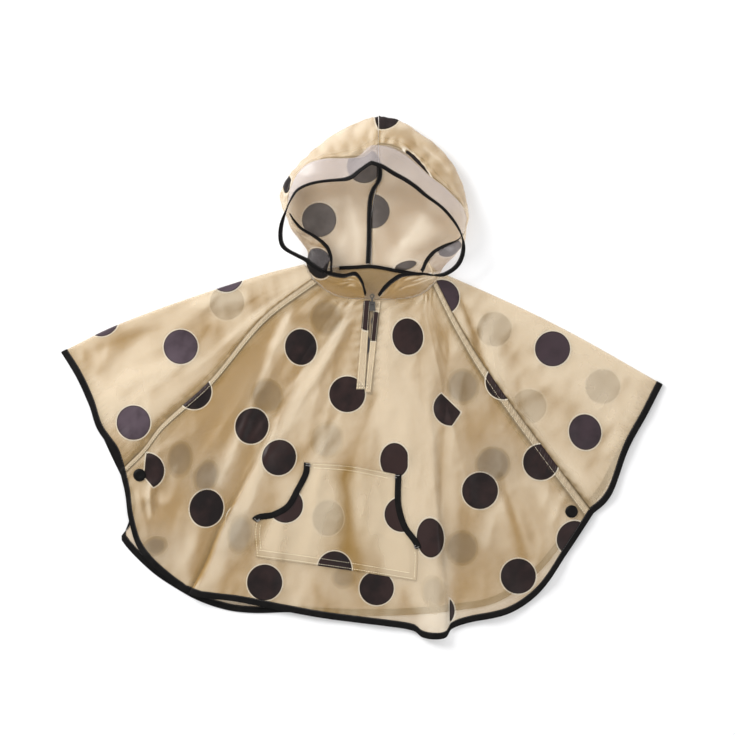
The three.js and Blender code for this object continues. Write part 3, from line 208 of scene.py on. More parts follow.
# Hood: directions from its centre in degrees from straight up, with distances and heights
HOOD_CENTRE = (13, 232)
HOOD_COLUMNS = "at rim seam outline rim_z seam_z outline_z neck_x neck_y neck_z"
HOOD = {
    "left": table(HOOD_COLUMNS, [
        (0, 65.5, 91.5, 133.5, 62, 38, 17, 12.7, 157.7, 0.6), (14, 58, 78, 127.5, 62, 38, 16, 5, 157.4, 0.6),
        (30, 53.5, 84.5, 120.5, 60, 40, 16, -5, 157, 0.6), (43, 58, 98.5, 119.5, 57, 44, 18, -16, 156.4, 0.6),
        (56, 73, 112, 120.5, 56, 42, 18, -26, 155.9, 0.6), (74, 105, 117, 128, 58, 35, 16, -38, 155.3, 0.6),
        (82, 112, 117, 129, 58, 32, 15, -43, 155.2, 0.6), (90, 118, 116, 122, 57, 30, 14, -47, 155.2, 0.6),
        (104, 130, 101, 113, 44, 28, 13, -58, 156.5, 0.6), (112, 132, 89, 104, 38, 27, 12, -68, 158.6, 0.6),
        (120, 121.5, 82, 99, 34, 26, 12, -78.2, 160.4, 1.8),
        (126, 114, 80, 99, 31, 25, 12, -77.6, 157.4, 3.6), (131, 111.5, 80, 100, 28, 24, 13, -75, 152, 4.9),
        (140, 107.5, 87, 104, 24, 22, 13, -68, 140.4, 5.6),
        (148, 103, 103, 112, 21, 21, 12, -51.5, 124.8, 5.6), (156.5, 98, 98, 112, 21, 21, 12, -35, 116, 5.6),
        (165.4, 90, 90, 108, 22, 22, 13, -20, 112.4, 5.6), (172.8, 100, 100, 112, 18, 18, 12, -6, 111.4, 5.6),
        (176, 116, 116, 119, 15, 15, 11, 3, 111.2, 5.6),
    ]),
    "right": table(HOOD_COLUMNS, [
        (0, 65.5, 91.5, 133.5, 62, 38, 17, 13.3, 157.7, 0.6), (13, 62.5, 92, 132, 62, 38, 17, 21, 157.2, 0.6),
        (30, 59.5, 91, 128.5, 62, 40, 17, 32, 155.6, 0.6), (44.5, 62, 90, 129.5, 60, 42, 18, 43, 153.2, 0.6),
        (60.6, 68.5, 95, 131, 60, 44, 19, 54, 151.2, 0.6), (76.6, 80, 112, 132, 61, 40, 18, 66, 149.4, 0.6),
        (92, 105, 132, 135, 61, 34, 15, 78, 147.5, 0.6), (107, 132, 130, 136, 56, 30, 13, 90, 146.2, 0.6),
        (115, 140, 114, 134, 45, 29, 13, 101, 148, 0.6),
        (122, 141.5, 105, 128, 36, 28, 13, 109.4, 148.6, 1.8),
        (128, 137.5, 103, 122, 31, 27, 13, 109, 146, 3.6), (133, 131, 104, 119, 28, 26, 13, 106, 140.5, 4.9),
        (141, 112, 109, 115, 24, 23, 13, 100, 133.4, 5.6), (154, 99, 99, 113, 21, 21, 12, 80, 117.8, 5.6),
        (163, 101, 101, 114, 20, 20, 12, 58, 111.8, 5.6), (170, 108, 108, 114, 18, 18, 12, 42, 110.6, 5.6),
        (175, 118, 118, 120, 15, 15, 11, 26, 111, 5.6),
    ]),
}
HOOD_COLLAR = {"left": (138, 147.5), "right": (131, 138)}
HOOD_END = {"left": 176, "right": 175}
RIM_TUCK = 1.5
VISOR_END = {"left": 139.5, "right": 132.5}

# The hood's centre seam leans to the right, and the tape inside it follows: place across at each height
CENTRE_LEAN = 10
TAPE_LINE = table("at x", [
    (160, 8.4), (193, 9.8), (235, 10.5), (254, 12.6), (266, 17), (274, 22.5), (284, 25), (300, 24),
])

# How much clearer the visor's film is at its low ends
CLEAR_LOW = {"left": 0.75, "right": 0.45}

POCKET = {
    "top": table("at x y", [(0, -74, -119), (0.5, -14, -123), (1, 48, -135)]),
    "bottom": table("at x y", [(0, -148, -251), (0.5, -45, -265), (1, 76, -284)]),
    "left": table("at x y", [
        (0, -74, -119), (0.14, -76, -135), (0.32, -88, -159), (0.5, -102, -182), (0.62, -123, -194),
        (0.74, -148, -201), (1, -148, -251),
    ]),
    "right": table("at x y", [
        (0, 48, -135), (0.3, 48, -178), (0.5, 57, -209), (0.74, 76, -239), (1, 76, -284),
    ]),
}
POCKET_MOUTH_END = 0.74
POCKET_SMOOTHING = 5

# Rows of stitching on the pocket, as places: left end, right end, upper end, lower end
POCKET_ROWS = (
    (0.06, 0.93, 0.014, 0.014), (0.07, 0.92, 0.055, 0.055), (0.012, 0.985, 0.986, 0.986),
    (0.03, 0.965, 0.945, 0.945), (0.010, 0.010, 0.76, 0.985), (0.036, 0.036, 0.77, 0.945),
    (0.988, 0.988, 0.78, 0.985),
)

# Bar tacks across the pocket's bindings: the binding's points that carry one, and half their length
TACK_PLACES = (1, 3, -2, -4)
TACK_REACH = 3.6

ZIP = {"top_x": 14.3, "top_y": 108, "bottom_x": 4.6, "bottom_y": -14}
WELTS = {
    "left": {"top_y": 108, "bottom_y": -16, "top": (2.6, 11.4), "bottom": (-7.8, 3.8)},
    "right": {"top_y": 108, "bottom_y": -20, "top": (17.3, 26), "bottom": (4.6, 12)},
}
WELT_FOOT_ROWS = (-9.0, -13.5)
CARRIED = {"zip_tape": "zip", "zip_chain": "zip", "zip_slider": "zip_metal", "zip_pull": "zip_metal"}

# Printed dots: centre and half widths in millimetres, and the turn of the longer one in degrees
DOT_COLUMNS = "x y wide high turn"
DOTS_FRONT = table(DOT_COLUMNS, [
    (-85.5, 43, 22, 25, 6), (64, 57.5, 21.5, 25.5, 8), (-20.7, -23, 25, 25, 0), (-154, -67.5, 23, 25, -20),
    (-116, -111.5, 23.5, 25, -20), (45.5, -115.5, 20, 24.5, 0), (124.5, -42.5, 24.5, 24.5, 0),
    (197.5, -5.5, 24.5, 24.5, 0), (250, -118, 24.7, 25, 0), (165, -158, 25, 25.5, 0),
    (95.5, -223.5, 19, 27.5, 3), (218.5, -277.5, 24.5, 24.5, 0), (-136, -286, 24.5, 25, 0),
    (20.5, -294.5, 24, 23.5, 0), (105.5, -326, 24, 24, 0), (295, -224, 22, 24.5, -30),
    (-47.5, -196, 22, 25, 0),
])
DOTS_FRONT_LEFT = table(DOT_COLUMNS, [
    (-235, -19.5, 24.5, 24.5, 0), (-217.5, -182.5, 23.5, 26, -14), (-301, -130, 24.5, 24.8, 0),
    (-165.5, -200.5, 24.5, 24.5, 0), (-85.5, 43, 22, 25, 6), (-154, -67.5, 23, 25, -20),
    (-116, -111.5, 23.5, 25, -20),
])
DOTS_SIDE = {
    "left": table(DOT_COLUMNS, [
        (-253.5, 43.3, 23.8, 24, 0), (-319.5, -62.7, 23.5, 24, 0), (-190, 144, 24, 24, 0),
        (-365.5, 83.5, 25.5, 25.5, 0),
    ]),
    "right": table(DOT_COLUMNS, [
        (111.5, 112.5, 24.5, 24.5, 0), (266.5, 40.5, 24.5, 24.5, 0), (312, -76, 22.5, 25, 12),
    ]),
}
DOTS_BACK = table(DOT_COLUMNS, [
    (-189, 105, 24, 24, 0), (185, 68, 24, 24, 0), (141, -12, 22, 24, 0), (234, -40, 24, 24, 0),
    (337, -12, 24, 24, 0), (183, -121, 24, 24, 0), (-133, -26, 22, 24, 0), (-255, -114, 17, 25, -8),
    (-218, -138, 16, 24, -20), (-49, -87, 22, 25, -12), (-171, -219, 16, 27, -10), (-290, -236, 18, 13, 20),
    (140, -238, 22, 24, 0), (-26, -279, 16, 15, 0), (-50, 84, 22, 24, 0), (-46, -196, 20, 24, 0),
    (100, -300, 16, 22, 10),
])
DOTS_POCKET = table(DOT_COLUMNS, [
    (-107, -178, 24.5, 24.5, 0), (56, -191, 24.5, 24.5, 0), (-38.5, -267, 24, 24.5, 0),
])
DOTS_HOOD_INSIDE = {
    "left": table(DOT_COLUMNS, [(-60, 221, 24, 24, 0), (3, 296.5, 24, 24, 0)]),
    "right": table(DOT_COLUMNS, [(14.7, 233, 24, 24, 0), (3, 296.5, 24, 24, 0), (61, 157, 16, 6, 15)]),
}
DOTS_HOOD_OUTSIDE = {
    "left": table(DOT_COLUMNS, [(-105, 270, 5, 13, -8), (-60, 160, 17, 22, 20), (26, 371, 8.5, 25, 0)]),
    "right": table(DOT_COLUMNS, [(29, 371, 25, 25, 0), (77, 297, 5, 24, 41), (122, 181, 17, 11, 25)]),
}
DOTS_HOOD = (DOTS_HOOD_INSIDE, DOTS_HOOD_OUTSIDE)
DOTS_WELT = {
    "left": table(DOT_COLUMNS, [(8.4, 92, 20, 26, 0)]),
    "right": table(DOT_COLUMNS, [(16, 72, 20, 20.5, 0)]),
}
DOT_FREE = 60.0

# Lines that a folded or puckered dot is cut along: a point on the line and the way that is cut off
DOT_CUTS = [
    {"dot": 6, "x": 124.5, "y": -35, "away": (0.69, 0.72)},
    {"dot": 6, "x": 131.5, "y": -58.5, "away": (0.83, -0.56)},
    {"dot": 5, "x": 64, "y": -115, "away": (1.0, 0.0)},
    {"dot": 14, "x": 122.5, "y": -325, "away": (-1.0, 0.0)},
]
SNAP_DOT = 2
SNAP_DOT_CUTS = [
    {"dot": SNAP_DOT, "x": -304, "y": -130, "away": (-1.0, 0.1)},
    {"dot": SNAP_DOT, "x": -296, "y": -148, "away": (-0.75, -0.66)},
]

# Creases: a line in plan, its half width and its height (a trough where negative)
CREASE_COLUMNS = "x1 y1 x2 y2 width height"
CREASES_FRONT = table(CREASE_COLUMNS, [
    (-12, 92, -96, -40, 7, 2.0), (-28, 78, -104, -20, 8, -1.4), (-60, 120, -112, 60, 9, 1.6),
    (-20, 100, -44, 70, 6, 1.2), (30, 84, 44, 20, 8, -1.2), (38, 60, 30, -40, 10, 1.0),
    (88, 108, 100, -30, 12, 1.6), (104, 90, 118, -60, 10, -1.2), (-300, -150, -292, -198, 5, 2.4),
    (-288, -150, -276, -204, 6, -1.8), (-310, -164, -300, -206, 4, 1.8), (-318, -128, -296, -112, 5, 1.4),
    (196, -177, 235, -252, 8, 2.4), (210, -170, 250, -240, 9, -1.4), (-44, -60, -124, -130, 12, 1.2),
    (-18, -70, -60, -130, 9, -1.2), (10, -60, -6, -125, 10, 1.0), (240, -60, 276, -150, 9, 1.4),
    (150, 40, 200, -30, 8, -1.2), (-200, -20, -262, -110, 9, 1.5), (-180, -60, -236, -170, 10, -1.4),
    (-250, -80, -300, -120, 6, 1.4), (60, -20, 84, -160, 12, 1.0), (300, -150, 262, -208, 6, 1.6),
    (-80, -262, -92, -312, 12, -1.6), (-20, -272, -14, -330, 10, 1.2), (-302, -150, -288, -190, 2.2, -1.8),
    (-316, -158, -306, -186, 2.0, 1.6), (-306, -172, -296, -196, 2.4, -1.6),
    (-296, -150, -292, -186, 2.6, 2.0), (-318, -172, -300, -222, 2.6, 1.8),
    (-300, -204, -288, -218, 2.4, -1.8), (-290, -196, -276, -206, 2.6, 1.6),
    (-330, -132, -312, -122, 2.0, 1.2), (-324, -148, -304, -160, 2.0, -1.4),
])
CREASES_SIDE = {
    "left": table(CREASE_COLUMNS, [
        (-96, 128, -180, 108, 8, 1.4), (-130, 100, -240, 80, 10, -1.2), (-210, 116, -290, 30, 12, 1.4),
        (-262, 96, -350, 10, 10, -1.2), (-236, 20, -330, -40, 9, 1.6), (-160, 70, -205, 40, 7, 1.4),
        (-340, 60, -380, 0, 9, 1.0), (-204, 120, -222, 92, 5, 1.2),
    ]),
    "right": table(CREASE_COLUMNS, [
        (120, 110, 168, 92, 7, 1.6), (136, 92, 160, 44, 8, 2.2), (176, 96, 166, 30, 8, -1.6),
        (150, 60, 210, 30, 7, 1.4), (210, 80, 300, 10, 11, -1.2), (230, 10, 330, -60, 10, 1.2),
        (196, -20, 230, -66, 7, 1.8), (330, 30, 380, -20, 9, 1.0),
    ]),
}

# Soft folds: a line in plan, its half width and how far the cloth sinks there.
# A hollow looks deeper in colour, partly for the layers of cloth it holds and partly as painted shade, and a
# rise (negative) paler as painted light.
FOLD_COLUMNS = "x1 y1 x2 y2 width sink"
FOLDS_FRONT = table(FOLD_COLUMNS, [
    (-122, 74, -232, -171, 18, 0.55), (-220, -73, -279, -216, 15, 0.6), (-272, -192, -283, -234, 13, 0.5),
    (-92, 78, -207, -140, 11, -0.75), (-111, 18, -140, -34, 13, 0.45), (-162, -104, -218, -276, 13, 0.75),
    (-176, -178, -227, -294, 7, 0.5), (-14, 84, -140, -104, 13, -0.75), (-140, -108, -188, -227, 10, -0.45),
    (-84, 78, -20, 86, 11, 0.5), (-14, -42, -98, -126, 17, 0.45), (-87, 8, -120, -48, 11, 0.4),
    (-129, -171, -174, -297, 17, 0.35), (20, -28, -14, -143, 11, 0.55), (-14, -143, -11, -283, 17, 0.6),
    (32, -199, 14, -311, 13, 0.3), (-62, -87, -87, -311, 20, -0.35), (42, 81, 70, -87, 28, -0.7),
    (70, -87, 95, -346, 25, -0.9), (28, 46, 36, -59, 11, -0.35), (111, 60, 132, -311, 13, 0.7),
    (151, -24, 162, -129, 21, 0.6), (151, -199, 140, -297, 20, 0.6), (189, -143, 231, -255, 7, 0.75),
    (176, -255, 221, -311, 20, 0.2), (200, -31, 162, -87, 17, 0.3), (242, -150, 286, -213, 17, -0.55),
    (256, -227, 221, -311, 14, -0.1), (193, -185, 176, -227, 15, -0.4), (-258, -129, -272, -171, 8, -0.2),
    (-297, -157, -300, -213, 10, -0.35), (-241, -234, -246, -283, 14, -0.3), (56, 109, 101, 131, 6, 0.6),
    (-45, 109, -14, 114, 7, 0.35), (76, 67, 104, 67, 11, 0.1), (-14, 84, -150, -100, 6, -0.3),
    (-36, 84, -128, -40, 7, 0.3), (-118, -60, -186, -222, 6, -0.35), (-64, 112, -120, 40, 8, -0.35),
    (-58, 120, -96, 84, 8, 0.4), (-10, 60, -60, -44, 7, 0.2), (-26, -40, -70, -118, 7, -0.3),
    (72, 70, 96, -60, 8, 0.15), (-60, -300, -40, -330, 12, 0.35), (100, -100, 112, -340, 9, -0.25),
    (128, -120, 138, -320, 9, 0.25), (60, -120, 70, -330, 9, 0.2), (-50, -130, -72, -240, 7, -0.25),
    (-18, -140, -24, -240, 7, 0.25), (200, -160, 240, -240, 6, -0.3), (170, 10, 220, -80, 9, 0.25),
    (96, 112, 130, 40, 9, -0.3), (90, 118, 112, 60, 7, 0.3), (-150, -230, -196, -300, 7, 0.35),
    (60, -300, 76, -335, 10, 0.3), (-300, -196, -284, -236, 7, 0.35),
])
FOLDS_SIDE = {
    "left": table(FOLD_COLUMNS, [
        (-360, 42, -283, 64, 14, 0.5), (-188, 46, -297, -87, 11, 0.35), (-140, 114, -196, 64, 14, 0.3),
        (-336, 0, -232, 16, 15, -0.5), (-171, 109, -227, 109, 13, -0.3), (-367, -10, -328, -45, 13, -0.35),
        (-297, -34, -311, -101, 13, -0.2), (-213, 67, -260, 8, 10, 0.25), (-388, 36, -370, 8, 8, 0.2),
        (-115, 126, -148, 109, 11, 0.3),
    ]),
    "right": table(FOLD_COLUMNS, [
        (139, 109, 168, 8, 8, 0.75), (171, 67, 193, -3, 11, -0.7), (210, 36, 319, -73, 21, 0.35),
        (277, 67, 389, 8, 13, -0.5), (193, 102, 249, 67, 13, -0.35), (319, -129, 342, -73, 13, 0.3),
        (242, -66, 305, -143, 11, -0.35), (221, -10, 221, -38, 8, 0.3), (333, -3, 361, -31, 13, 0.15),
        (389, -20, 372, -59, 8, -0.2),
    ]),
}
# Folds of the hood: inside it, on its outside, and on its collar
FOLDS_HOOD_INSIDE = table(FOLD_COLUMNS, [
    (-87, 228, -70, 260, 14, 0.45), (-52, 257, -3, 263, 17, 0.45), (-29, 232, -27, 204, 8, 0.35),
    (22, 268, 64, 254, 15, 0.5), (29, 232, 45, 193, 11, 0.5), (53, 233, 81, 245, 11, 0.55),
    (92, 232, 109, 221, 11, 0.3), (1, 176, 0, 159, 7, 0.4), (109, 218, 129, 198, 11, 0.3),
    (78, 176, 104, 191, 8, 0.35), (-24, 198, -36, 159, 11, -0.45), (-17, 249, -8, 165, 6, -0.3),
    (46, 162, 57, 190, 10, -0.45), (59, 189, 84, 224, 7, -0.5), (73, 193, 95, 207, 7, -0.35),
    (-76, 204, -45, 162, 14, 0.2), (17, 193, 25, 162, 7, 0.25), (0, 148, 34, 142, 11, 0.9),
    (-45, 263, -87, 243, 8, 0.3),
])
FOLDS_HOOD_OUTSIDE = table(FOLD_COLUMNS, [
    (46, 338, 104, 308, 20, 0.4), (118, 294, 134, 254, 17, 0.5), (64, 319, 109, 288, 10, 0.3),
    (-8, 330, -45, 316, 10, 0.2), (-28, 350, -64, 330, 11, -0.3), (8, 358, 0, 322, 10, 0.2),
    (31, 361, 56, 347, 8, -0.1), (87, 322, 118, 288, 4, -0.45), (-17, 305, -45, 296, 11, 0.2),
    (14, 319, 31, 310, 8, 0.35), (59, 305, 95, 274, 10, 0.4), (115, 254, 137, 229, 8, 0.15),
    (-62, 305, -92, 288, 8, 0.1), (20, 344, 25, 324, 4, 0.4),
])
FOLDS_COLLAR = table(FOLD_COLUMNS, [
    (-56, 142, -34, 128, 11, 0.9), (-34, 128, -3, 117, 13, 0.6), (-87, 204, -50, 179, 14, 0.55),
    (42, 123, 70, 131, 11, 0.65), (76, 131, 101, 137, 8, -0.3), (118, 162, 95, 154, 8, 0.5),
    (-8, 137, 0, 109, 6, 0.4), (25, 109, 42, 120, 7, 0.5),
])
FOLD_DEPTH = 3.0
HOOD_FOLD_DEPTH = 2.2
COLLAR_FOLD_DEPTH = 1.2

# The direction from the hood's centre, in degrees, where its lying part ends and its collar begins
COLLAR_FROM = 118

# How deep in colour each piece looks on the whole, from 0 to 1, and how much its folds change that as painted
# shade in hollows and painted light on rises
FOLD_TONE = 0.72
FRONT_TONE = 0.50
SIDE_TONE = 0.20
HOOD_TONE = 0.50
BACK_TONE = 0.5
FELL_TONE = 0.16
WELT_TONE = 0.12

# Broad areas where the cloth looks deeper in colour, partly for more layers lying there and partly as painted
# shade, or paler as painted light where negative
SHADE_COLUMNS = "x y reach amount"
SHADES = {
    "front": table(SHADE_COLUMNS, [
        (-227, -31, 45, 0.28), (-178, -24, 53, 0.3), (-178, 39, 45, 0.25), (-255, -101, 36, 0.28),
        (-122, -52, 34, 0.15), (-59, 74, 39, 0.3), (-59, -59, 42, -0.18), (-3, -59, 50, -0.22),
        (56, -59, 50, -0.2), (109, -45, 48, -0.3), (109, 25, 36, -0.2), (160, 16, 31, 0.3),
        (109, -115, 45, -0.38), (109, -178, 39, -0.3), (53, -213, 50, -0.3), (92, -276, 36, -0.4),
        (-94, -157, 36, -0.25), (214, -108, 31, 0.15), (-290, -213, 25, 0.25), (-232, -269, 31, -0.25),
        (-132, -227, 31, -0.3), (39, -290, 36, -0.2), (-213, -143, 34, 0.12), (151, -234, 31, 0.1),
    ]),
    "pocket": table(SHADE_COLUMNS, [
        (-66, -171, 50, -0.35), (-10, -157, 36, -0.12), (46, -171, 50, -0.5), (46, -234, 48, -0.4),
        (-87, -234, 48, -0.3), (-20, -238, 31, 0.12),
    ]),
    "left": table(SHADE_COLUMNS, [
        (-398, 14, 36, 0.35), (-342, 56, 31, 0.15), (-227, 67, 39, 0.25), (-336, -96, 31, 0.35),
        (-350, -48, 22, -0.25), (-206, 46, 31, 0.15),
    ]),
    "right": table(SHADE_COLUMNS, [
        (333, -48, 36, -0.2), (333, 11, 31, -0.2), (272, 8, 28, -0.12), (272, -87, 28, 0.15),
        (109, 81, 28, 0.1), (277, -171, 25, 0.1),
    ]),
}

# Where thin cloth is crumpled into small facets: centre, reach and how high they are
CRUMPLES_FRONT = table("x y reach height", [
    (-300, -175, 42, 2.2), (-20, 104, 26, 0.7), (70, 104, 30, 0.8), (-90, 110, 30, 0.8),
    (-200, -250, 60, 0.5), (100, 40, 60, 0.5), (280, -160, 45, 1.0), (-20, 20, 50, 0.4), (40, -60, 50, 0.4),
    (-150, -290, 50, 0.6),
])
CRUMPLES_SIDE = {
    "left": table("x y reach height", [
        (-330, -70, 40, 0.8), (-200, 110, 50, 0.5), (-380, 20, 50, 0.6), (-120, 125, 40, 0.5),
    ]),
    "right": table("x y reach height", [
        (150, 70, 50, 1.0), (240, 30, 60, 0.6), (345, -70, 50, 0.9), (380, 0, 40, 0.6),
    ]),
}
CRUMPLE_LENGTH = 42
CREST = 2.4
CREST_SOFTNESS = 0.004

# The painted shadow beside the raglan seams on the side panels: its width as a share of the panel
SEAM_SHADOW = {"left": 0.085, "right": 0.04}

# Where the front lies close on the back, so that the back's dots show more clearly
CONTACTS = table("x y reach strength", [
    (141, -12, 38, 0.6), (183, -121, 40, 0.9), (-133, -26, 36, 0.5), (-255, -114, 34, 0.6),
    (-218, -138, 34, 0.9), (-171, -219, 34, 0.5), (-290, -236, 34, 0.9), (140, -238, 36, 0.6),
    (-28, -279, 30, 0.3), (-50, 84, 34, 0.4), (234, -40, 34, 0.2),
])

# Colours, as linear values
# Cream at the pale end of the tone and tan at its deep end; the tone carries painted shade and painted light
# of folds and relief as well as the cloth's own uneven colour
CREAM_LIGHT = (0.84, 0.70, 0.50)
CREAM_DEEP = (0.42, 0.25, 0.072)
# Seam brown stands for darker real seam layers and joins, and for painted shadow beside raised seams, by fold
# edges, in hem puckers and at the back neck under the hood
SEAM_AND_SHADOW_BROWN = (0.20, 0.145, 0.078)
CONTACT_GREY = (0.50, 0.46, 0.38)
HALO = (0.90, 0.83, 0.70)
EDGE = (0.72, 0.58, 0.38)
PLUM_LIGHT = (0.024, 0.011, 0.010)
PLUM_DEEP = (0.005, 0.002, 0.002)
SIDE_PLUM_LIGHT = (0.075, 0.052, 0.066)
SIDE_PLUM_DEEP = (0.030, 0.018, 0.024)
RIGHT_PLUM_LIGHT = (0.038, 0.022, 0.028)
RIGHT_PLUM_DEEP = (0.014, 0.007, 0.010)
DOT_INSIDE_LIGHT = (0.125, 0.105, 0.098)
DOT_INSIDE_DEEP = (0.070, 0.058, 0.053)
HOOD_PLUM_LIGHT = (0.020, 0.012, 0.012)
HOOD_PLUM_DEEP = (0.004, 0.002, 0.002)
HOOD_INSIDE_LIGHT = (0.135, 0.114, 0.103)
HOOD_INSIDE_DEEP = (0.080, 0.066, 0.058)
BINDING = (0.0030, 0.0026, 0.0025)
THREAD_LIGHT = (0.80, 0.69, 0.50)
THREAD_DARK = (0.055, 0.05, 0.05)
THREAD_GREY = (0.20, 0.19, 0.18)
VISOR = (0.68, 0.61, 0.605)
ZIP_COLOUR = (0.014, 0.013, 0.018)
ZIP_METAL = (0.10, 0.095, 0.09)
SNAP_COLOUR = (0.002, 0.0018, 0.0018)
FLOOR = (0.86, 0.86, 0.865)
WORLD = (1.0, 1.0, 1.0)

# The stage, in metres and watts
FLOOR_SIZE = 12.0
FLOOR_DROP = 0.0006
WORLD_STRENGTH = 0.80
LIGHTS = (
    {"name": "key", "place": (-1.5, 1.2, 1.4), "size": 1.2, "power": 50.0},
    {"name": "fill", "place": (1.6, -0.6, 2.2), "size": 1.8, "power": 12.0},
)
CAMERA_HEIGHT = 5.0
SENSOR_MM = 36.0
CAMERA_REACH = 50.0


# Numbers along a table and across a range


def smooth(start, end, value):
    t = np.clip((value - start) / (end - start), 0, 1)
    return t * t * (3 - 2 * t)


def mix(a, b, t):
    return a + (b - a) * t


def bell(distance, width):
    return np.exp(-((distance / width) ** 2))


def read(source, at, column):
    """A smooth curve through one column of a table, read at places along it."""
    places = source["at"]
    values = source[column]
    last = len(places) - 1
    at = np.asarray(at, float)
    i = np.clip(np.searchsorted(places[1:], at, side="left"), 0, last - 1)
    after = np.minimum(np.arange(last + 1) + 1, last)
    before = np.maximum(np.arange(last + 1) - 1, 0)
    slope = (values[after] - values[before]) / (places[after] - places[before])
    span = places[i + 1] - places[i]
    t = (at - places[i]) / span
    ease = t * t * (3 - 2 * t)
    leave = t * (1 - t) ** 2 * span * slope[i]
    arrive = t * t * (t - 1) * span * slope[i + 1]
    return mix(values[i], values[i + 1], ease) + leave + arrive


def plan_point(source, at):
    return np.stack([read(source, at, "x"), read(source, at, "y")], axis=-1)


def panel_plan(top, bottom, left, right):
    """The plan of a panel between four edges: u runs along top and bottom, v down left and right."""
    corners = [plan_point(source, at) for source in (top, bottom) for at in (0.0, 1.0)]

    def plan(u, v):
        u, v = np.broadcast_arrays(np.asarray(u, float), np.asarray(v, float))
        across = mix(plan_point(top, u), plan_point(bottom, u), v[..., None])
        down = mix(plan_point(left, v), plan_point(right, v), u[..., None])
        upper = mix(corners[0], corners[1], u[..., None])
        lower = mix(corners[2], corners[3], u[..., None])
        return across + down - mix(upper, lower, v[..., None])

    return plan


def straight(first, second):
    return table("at x y", [(0, *first), (1, *second)])


def ripple(x, y, seed, wavelength, turns=6):
    """A soft uneven field of waves, from -1 to 1."""
    rng = np.random.default_rng(seed)
    total = 0
    for _ in range(turns):
        angle = rng.uniform(0, math.pi)
        length = wavelength * rng.uniform(0.6, 1.6)
        phase = rng.uniform(0, 2 * math.pi)
        total = total + np.sin(2 * math.pi * (x * math.cos(angle) + y * math.sin(angle)) / length + phase)
    return total / turns


def beside_lines(x, y, rows, sway, turns, shift):
    """For each listed line: its row, its length, how far along it and how far aside each point is."""
    for k in range(len(rows["x1"])):
        x1, y1 = rows["x1"][k], rows["y1"][k]
        dx, dy = rows["x2"][k] - x1, rows["y2"][k] - y1
        length = math.hypot(dx, dy)
        along = ((x - x1) * dx + (y - y1) * dy) / length**2
        bend = sway * length * np.sin(turns * along + shift * k)
        yield k, length, along, ((x - x1) * dy - (y - y1) * dx) / length + bend


def creases(x, y, rows):
    """The height that the listed creases add at each point."""
    total = np.zeros_like(x)
    for k, _, along, aside in beside_lines(x, y, rows, sway=0.04, turns=3.0, shift=1):
        fade = smooth(-0.12, 0.25, along) * smooth(-0.12, 0.3, 1 - along)
        total += rows["height"][k] * fade * bell(aside, rows["width"][k])
    return total


def folds(x, y, rows):
    """How far the listed soft folds sink at each point, from about -1 to 1."""
    total = np.zeros_like(x)
    for k, length, along, aside in beside_lines(x, y, rows, sway=0.05, turns=2.2, shift=1.7):
        beyond = np.maximum(np.maximum(-along, along - 1), 0) * length
        width = rows["width"][k] * (0.75 + 0.5 * np.clip(along, 0, 1))
        section = 0.6 * bell(aside, width) + 0.4 * np.exp(-np.abs(aside) / (0.6 * width))
        total += rows["sink"][k] * bell(beyond, rows["width"][k]) * section
    return total


def patches(x, y, rows, amount):
    """The amount that each listed round patch gives each point."""
    rows = zip(rows["x"], rows["y"], rows["reach"], rows[amount])
    return np.array([most * bell(np.hypot(x - at_x, y - at_y), reach) for at_x, at_y, reach, most in rows])


def shades(x, y, rows):
    """How much deeper the cloth looks in broad listed areas: partly more layers, partly painted shade, and
    painted light where negative.
    """
    return patches(x, y, rows, "amount").sum(axis=0)


def contact(x, y):
    """How closely the front lies on the back at each point, from 0 to 1."""
    return patches(x, y, CONTACTS, "strength").max(axis=0)


def ridged(x, y, seed, wavelength):
    """Sharp crests with round hollows between them, about -1 to 1."""
    return 1 - CREST * np.sqrt(ripple(x, y, seed, wavelength, 4) ** 2 + CREST_SOFTNESS)


def crumple(x, y, rows, seed):
    """The height of small sharp facets around the listed places."""
    return patches(x, y, rows, "height").sum(axis=0) * ridged(x, y, seed, CRUMPLE_LENGTH)


def dot_edge(x, y, rows, cuts=()):
    """Distance to the nearest dot's edge in millimetres, negative inside a dot."""
    nearest = np.full(np.shape(x), DOT_FREE)
    for k in range(len(rows["x"])):
        angle = math.radians(rows["turn"][k])
        dx, dy = x - rows["x"][k], y - rows["y"][k]
        across = dx * math.cos(angle) + dy * math.sin(angle)
        up = -dx * math.sin(angle) + dy * math.cos(angle)
        wide, high = rows["wide"][k], rows["high"][k]
        reach = np.sqrt((across / wide) ** 2 + (up / high) ** 2)
        edge = (reach - 1) * min(wide, high)
        for cut in cuts:
            if cut["dot"] == k:
                past = (x - cut["x"]) * cut["away"][0] + (y - cut["y"]) * cut["away"][1]
                edge = np.maximum(edge, past)
        nearest = np.minimum(nearest, edge)
    return nearest


# Materials


def node(tree, kind, **sockets):
    made = tree.nodes.new(kind)
    for name, value in sockets.items():
        made.inputs[name.replace("_", " ")].default_value = value
    return made


def blank_material(name):
    material = bpy.data.materials.new(name)
    material.use_nodes = True
    return material, material.node_tree, material.node_tree.nodes["Principled BSDF"]


def attribute(tree, name):
    made = tree.nodes.new("ShaderNodeAttribute")
    made.attribute_name = name
    return made.outputs["Fac"]


def math_node(tree, operation, first, second=None):
    made = tree.nodes.new("ShaderNodeMath")
    made.operation = operation
    for socket, value in zip(made.inputs, (first, second)):
        if value is None:
            continue
        if isinstance(value, (int, float)):
            socket.default_value = value
        else:
            tree.links.new(value, socket)
    return made.outputs[0]


def spread(tree, value, low, high, out_low=0.0, out_high=1.0):
    made = tree.nodes.new("ShaderNodeMapRange")
    made.interpolation_type = "SMOOTHSTEP"
    made.inputs["From Min"].default_value = low
    made.inputs["From Max"].default_value = high
    made.inputs["To Min"].default_value = out_low
    made.inputs["To Max"].default_value = out_high
    tree.links.new(value, made.inputs["Value"])
    return made.outputs["Result"]


